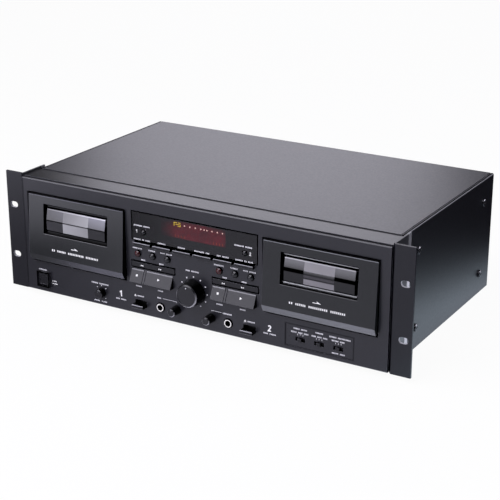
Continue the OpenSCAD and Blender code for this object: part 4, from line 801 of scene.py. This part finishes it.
class DECK_OT_inside(bpy.types.Operator):
    """Finishes the boards, transports and sockets"""
    bl_idname = "deck.inside"
    bl_label = "Inside finishes"

    def execute(self, context):
        # Nickel plate on turned brass: bright, warm white, nearly a mirror.
        dress(["phono_sockets"], "nickel_plated", metal, "#dcdad4", "#c4c2bc", rough=0.16, line=0.5,
              relief=0.05)
        # The front jacks: white faces as a painted reflection, the rest black.
        dress(["front_jacks"], "nickel_jack_plated", jack_nickel)
        # Turned steel: grey and bright, with fine lines in the gloss.
        dress(pair("flywheel", "head_slide") + ["capstan_motors"], "steel_turned", metal, "#c2c2c4",
              "#9c9c9f", rough=0.25, line=0.5, relief=0.15, stretch=(1, 0.1, 1))
        # Solder-masked laminate: green, mottled by the weave and the tracks under it.
        dress(["control_board", "main_board"], "laminate_masked", skin, "#1f4a2c", "#3f6a48", rough=0.3,
              grain=1.5, relief=0.2, bevel=0.2, mottle=4.0)
        # Varnished iron laminations: dark grey and uneven, paler along the edges.
        dress(["power_transformer"], "core_varnished", skin, "#3c3a3a", "#7a7672", rough=0.45, grain=0.5,
              relief=0.3, bevel=0.3)
        # Nylon moulded black: half dull, with soft edges.
        dress(pair("supply_reel", "takeup_reel") + ["panel_switches", "mains_inlet"], "nylon_black_moulded",
              skin, "#141415", "#303033", rough=0.45, grain=0.6, relief=0.1, bevel=0.3)
        return {"FINISHED"}


class DECK_OT_print(bpy.types.Operator):
    """Prints the panel's plain legend bars, numerals, dots and brackets"""
    bl_idname = "deck.panel_print"
    bl_label = "Panel print"

    def execute(self, context):
        look, sizes = context.scene.deck_colours, context.scene.deck_sizes
        bars = []
        for face, rows, steps in ((PANEL, PANEL_LEGENDS, (0,)), (PANEL, DECK_LEGENDS, (0, DECK_STEP)),
                                  (SWITCH_FIELD, SWITCH_LEGENDS, (0,))):
            for step in steps:
                for x0, x1, z, *shares in rows:
                    bars += words(face, x0 + step, x1 + step, z, shares)
        # Three ticks over each slide switch, the dots of two dials, and a bracket from each jack to its knob.
        bars += [stroke(SWITCH_FIELD, [[x + d, 18.6], [x + d, 20.2]], 0.45)
                 for x in SWITCH_X for d in (-3, 0, 3)]
        bars += dial(0, LEVEL_Z, sizes.dial_r / MM, sizes.dial_dot_r / MM, np.arange(-150, 151, 30))
        bars += dial(PITCH_X, PITCH_Z, PITCH_DIAL_R, 0.55, (-140, -45, 0, 45, 140))
        bars += [stroke(PANEL, path, 0.3) for path in ([[-38.3, 24.6], [-21.5, 24.6], [-21.5, 23.4]],
                                                       [[21.2, 23.2], [21.2, 24.2], [33.0, 24.2]])]
        piece("panel_legends", bars, finished("ink_legend_printed", ink, look.legend), "case")

        big, small = sizes.numeral_h / MM, sizes.small_numeral_h / MM
        marks = [numeral(PANEL, 1, -91.3, 19.7, big), numeral(PANEL, 2, 89.1, 19.2, big),
                 numeral(PANEL, 1, -68.8, 93.6, small, 0.16), numeral(PANEL, 2, 66.8, 93.6, small, 0.16)]
        # The two eject signs, a triangle over a bar.
        for x, z in ((-73.0, 21.7), (60.9, 21.3)):
            marks += [polygon(PANEL, x, z, [[-1.3, -0.2], [1.3, -0.2], [0, 1.3]]),
                      block(PANEL, x, z - 0.9, 2.6, 0.6)]
        # The power button's two positions, a square and a short legend each.
        for end, z in ((-177.6, 15.6), (-176.6, 12.6)):
            marks += [block(PANEL, -182.6, z, 1.2, 1.2), *words(PANEL, -181.0, end, z)]
        piece("panel_numerals", marks, finished("ink_white_printed", ink, look.ink), "case")
        return {"FINISHED"}


class DECK_OT_door_marks(bpy.types.Operator):
    """Prints each door's arrow and legend bars"""
    bl_idname = "deck.door_marks"
    bl_label = "Door marks"

    def execute(self, context):
        white = bpy.data.materials["ink_white_printed"]
        for side, i in ((-1, 1), (1, 2)):
            face = door_face(side, MARK_Z)
            parts = [stroke(face, [[-5.2, 1.0], [0.5, 1.0]], 0.7),
                     polygon(face, 0, 0, [[-0.5, 0.7], [4.2, 0.7], [-0.5, 3.0]])]
            parts += words(face, -31.2, 30.6, -4.2, (2, 5, 9, 7), gap=2.6, height=2.2)
            piece(f"door_mark_{i}", parts, white, f"door_{i}")
        return {"FINISHED"}


class DECK_OT_key_marks(bpy.types.Operator):
    """Prints the stop, play and wind icons on their keys"""
    bl_idname = "deck.key_marks"
    bl_label = "Key icons"

    def execute(self, context):
        white = bpy.data.materials["ink_white_printed"]
        play = [[-1.2, -1.4], [1.5, 0], [-1.2, 1.4]]
        wind = np.array([[-0.9, -0.9], [0.9, 0], [-0.9, 0.9]])
        for i, step in ((1, 0), (2, DECK_STEP)):
            key = Face((step, KEY_Y, KEY_Z), KEY_UP, KEY_OUT)
            piece(f"stop_mark_{i}", [block(key, STOP_X, 0.4, 2.2, 2.2)], white, f"stop_key_{i}")
            piece(f"play_mark_{i}", [polygon(key, PLAY_X, 0.4, play)], white, f"play_key_{i}")
            arrows = [polygon(ROCKER_FACE, x + step, 56.6, way * wind)
                      for x, way in ((-64.6, -1), (-62.6, -1), (-41.6, 1), (-39.6, 1))]
            piece(f"wind_mark_{i}", arrows, white, f"wind_rocker_{i}")
        return {"FINISHED"}


class DECK_OT_display(bpy.types.Operator):
    """Lights the display behind its filter"""
    bl_idname = "deck.display"
    bl_label = "Display"

    def execute(self, context):
        look = context.scene.deck_colours
        dress(["display_window"], "acrylic_filter_cast", filter_acrylic, look.filter)
        # The red ground behind the filter is a red plate that glows as painted light.
        ground = finished("phosphor_ground_painted_glow", phosphor, look.glow, 1.0, 6.0, (5.0, 101.5, 50.0, 16.0))
        piece("display_ground", [block(TUBE, -2.05, 103.75, 76.9, 20.3)], ground, "case")
        dots = [disc(LIT, x, 108.0, 0.8) for x in (-12, -5.5, 1, 7.5, 11.5, 14.8, 20.7, 27, 33.1)]
        sign = [stroke(LIT, path, 0.8) for path in (
            [[-24.5, 106.4], [-24.5, 110.0], [-20.6, 110.0]],
            [[-22.6, 108.2], [-17.0, 108.2], [-17.0, 106.4], [-20.4, 106.4]],
            [[-19.4, 110.0], [-16.8, 110.0]])]
        digits = [stroke(LIT, [[x, 94.6], [x, 97.0]], 0.4)
                  for start in (-23.2, 22.3) for x in start + np.arange(4) * 3.6]
        for name, parts, code, strength in (("dots", dots, "#ffd9c4", 6.0), ("sign", sign, "#e8d030", 6.0),
                                            ("digits", digits, "#ff7048", 3.0)):
            lit = finished(f"phosphor_{name}_lit", phosphor, code, strength, 1.0)
            piece(f"display_{name}", parts, lit, "case")
        return {"FINISHED"}


class DECK_OT_knob_marks(bpy.types.Operator):
    """Inlays the knobs' pointers"""
    bl_idname = "deck.knob_marks"
    bl_label = "Knob pointers"

    def execute(self, context):
        pale, dim = bpy.data.materials["ink_legend_printed"], finished("ink_pointer_printed", ink, "#58585e")
        for name, x, z, out, r in (("mic_level_knob", -21, 16, 12, 5), ("phones_level_knob", 21, 16, 12, 5),
                                   ("pitch_knob", PITCH_X, PITCH_Z, 7, 5.6)):
            pointer = stroke(upright(x, -out, z), [[0, r * 0.35], [0, r * 0.85]], 0.6)
            piece(f"{name}_pointer", [pointer], dim, name)
        dot = disc(upright(0, -15, LEVEL_Z), 0, 8.8, 0.6)
        piece("record_level_pointer", [dot], pale, "record_level_knob")
        return {"FINISHED"}


class DECK_OT_collars(bpy.types.Operator):
    """Rings the phono sockets with their red and white collars"""
    bl_idname = "deck.collars"
    bl_label = "Phono collars"

    def execute(self, context):
        r = context.scene.deck_sizes.collar_r / MM
        t = np.linspace(0, 2 * np.pi, 16, endpoint=False)
        # A flat ring with a rounded rim: its section is an ellipse from the sleeve to the collar's radius.
        section = np.stack([(r + SLEEVE_R) / 2 + (r - SLEEVE_R) / 2 * np.cos(t), 0.5 + 0.55 * np.sin(t)], 1)
        for tone, code, z in (("red", "#a3202a", 52), ("white", "#d8d6cf", 67)):
            # Nylon moulded in its colour: clean and half dull.
            nylon = finished(f"nylon_{tone}_moulded", skin, code, code, rough=0.4, grain=0.5, relief=0.06,
                             bevel=0.2)
            rings = [turned(section, (x, COLLAR_Y, z)) for x in PHONO_X]
            piece(f"phono_collars_{tone}", rings, nylon, "case")
        return {"FINISHED"}


class DECK_OT_stage(bpy.types.Operator):
    """Sets the floor, the soft lights and the camera"""
    bl_idname = "deck.stage"
    bl_label = "Stage"

    def execute(self, context):
        scene, stage = context.scene, context.scene.deck_stage
        scene.view_settings.view_transform = "Standard"
        corners = np.array([[-8, -8, 0], [8, -8, 0], [8, 8, 0], [-8, 8, 0]]) + [0, 0, FLOOR_Z - 0.3 * MM]
        mesh = bpy.data.meshes.new("studio_floor")
        mesh.from_pydata(corners.tolist(), [], [[0, 1, 2, 3]])
        floor = bpy.data.objects.new("studio_floor", mesh)
        scene.collection.objects.link(floor)
        mesh.materials.append(finished("paper_sweep", self.paper, stage))

        world = bpy.data.worlds.new("studio_room")
        scene.world = world
        world.use_nodes = True
        tree = world.node_tree
        tree.nodes.clear()
        path = add(tree, "LightPath").outputs
        room = add(tree, "Background", {"Color": linear("#f4f6ff"), "Strength": stage.room})
        white = add(tree, "Background", {"Color": (1, 1, 1, 1), "Strength": 1.0})
        seen = add(tree, "Math", (path["Is Camera Ray"], path["Is Transmission Ray"]), operation="MAXIMUM")
        add(tree, "OutputWorld", {"Surface": add(tree, "MixShader", (seen, room, white))})

        for name, place, target, size, watts in SOFTBOXES:
            lamp = bpy.data.lights.new(name, "AREA")
            lamp.shape = "RECTANGLE"
            lamp.size, lamp.size_y = size
            lamp.energy = watts
            lamp.color = stage.light[:3]
            made = bpy.data.objects.new(name, lamp)
            made.visible_camera = False
            made.location = place
            made.rotation_euler = (Vector(target) - Vector(place)).to_track_quat("-Z", "Y").to_euler()
            scene.collection.objects.link(made)

        camera = bpy.data.cameras.new("photo_camera")
        camera.lens, camera.sensor_width = stage.lens, 36.0
        made = bpy.data.objects.new("photo_camera", camera)
        made.location = stage.place
        back = Vector((sin(stage.azimuth) * cos(stage.elevation), -cos(stage.azimuth) * cos(stage.elevation),
                       sin(stage.elevation)))
        made.rotation_euler = back.to_track_quat("Z", "Y").to_euler()
        scene.collection.objects.link(made)
        scene.camera = made
        return {"FINISHED"}

    def paper(self, tree, where, stage):
        """Pale paper sweep: white where it is looked at, with the deck's shadow in it.

        In reflections its brightness is painted: it dims towards the deck as painted shade, falls off to the
        deck's right, and has two dips of painted shade at the left: an oval one at the deck's front corner,
        and a round one further out, which the left door mirrors.
        """
        path = add(tree, "LightPath").outputs
        x, y, _ = add(tree, "SeparateXYZ", (where,)).outputs
        right = add(tree, "VectorMath", (where, (1.0, 0.3, 0.0)), operation="DOT_PRODUCT")
        fade = add(tree, "MapRange", (right, 0.27, 0.345, 1.0, 0.0))
        beside = add(tree, "MapRange", (x, 0.2, 0.24, 0.86, 1.4))
        far = add(tree, "MapRange", (x, -0.55, -0.3, 1.75, 0.72))
        bright = add(tree, "MapRange", (y, -0.2, -0.6, beside, far))
        corner = add(tree, "VectorMath", (where, (-0.23, -0.15, FLOOR_Z)), operation="SUBTRACT")
        oval = add(tree, "VectorMath", (corner, (6.0, 11.0, 0.0)), operation="MULTIPLY")
        away = add(tree, "VectorMath", (oval,), operation="LENGTH")
        shade = add(tree, "MapRange", (away, 0.2, 1, 0.42))
        out = add(tree, "VectorMath", (where, (-0.345, -0.285, FLOOR_Z)), operation="DISTANCE")
        dip = add(tree, "MapRange", (out, 0.04, 0.19, 0.1))
        for share in (shade, dip, fade):
            bright = add(tree, "Math", (bright, share), operation="MULTIPLY")
        side = add(tree, "MapRange", (x, 0.18, 0.24))
        cast = add(tree, "MixRGB", (side, stage.mirrored, stage.mirrored_right))
        mirrored = add(tree, "Math", (path["Is Glossy Ray"], path["Is Transmission Ray"]),
                       operation="MAXIMUM")
        matt = add(tree, "BsdfDiffuse", {"Color": stage.floor})
        white = add(tree, "Emission", {"Color": (1, 1, 1, 1), "Strength": 1.0})
        glow = add(tree, "Emission", {"Color": cast, "Strength": bright})
        lit = add(tree, "MixShader", (0.95, matt, white))
        near = add(tree, "MixShader", (mirrored, matt, glow))
        return add(tree, "MixShader", (path["Is Camera Ray"], near, lit))


class DECK_PT_panel(bpy.types.Panel):
    """Lists the deck's settings and steps"""
    bl_idname = "DECK_PT_panel"
    bl_label = "Cassette deck"
    bl_space_type = "VIEW_3D"
    bl_region_type = "UI"
    bl_category = "Deck"

    def draw(self, context):
        for group in GROUPS:
            box = self.layout.box()
            settings = getattr(context.scene, group)
            for key in settings.bl_rna.properties.keys():
                if key not in ("rna_type", "name"):
                    box.prop(settings, key)
        for step in STEPS:
            self.layout.operator(step.bl_idname)


GROUPS = {"deck_sizes": DeckSizes, "deck_colours": DeckColours, "deck_stage": DeckStage}
STEPS = (DECK_OT_case, DECK_OT_front, DECK_OT_controls, DECK_OT_domes, DECK_OT_inside, DECK_OT_print,
         DECK_OT_door_marks, DECK_OT_key_marks, DECK_OT_display, DECK_OT_knob_marks, DECK_OT_collars,
         DECK_OT_stage)


def register():
    for one in (*GROUPS.values(), *STEPS, DECK_PT_panel):
        bpy.utils.register_class(one)
    for key, group in GROUPS.items():
        setattr(bpy.types.Scene, key, bpy.props.PointerProperty(type=group))


def unregister():
    for key in GROUPS:
        delattr(bpy.types.Scene, key)
    for one in reversed((*GROUPS.values(), *STEPS, DECK_PT_panel)):
        bpy.utils.unregister_class(one)


def main():
    register()
    for step in STEPS:
        getattr(bpy.ops.deck, step.bl_idname.split(".")[1])()


if __name__ == "__main__":
    main()
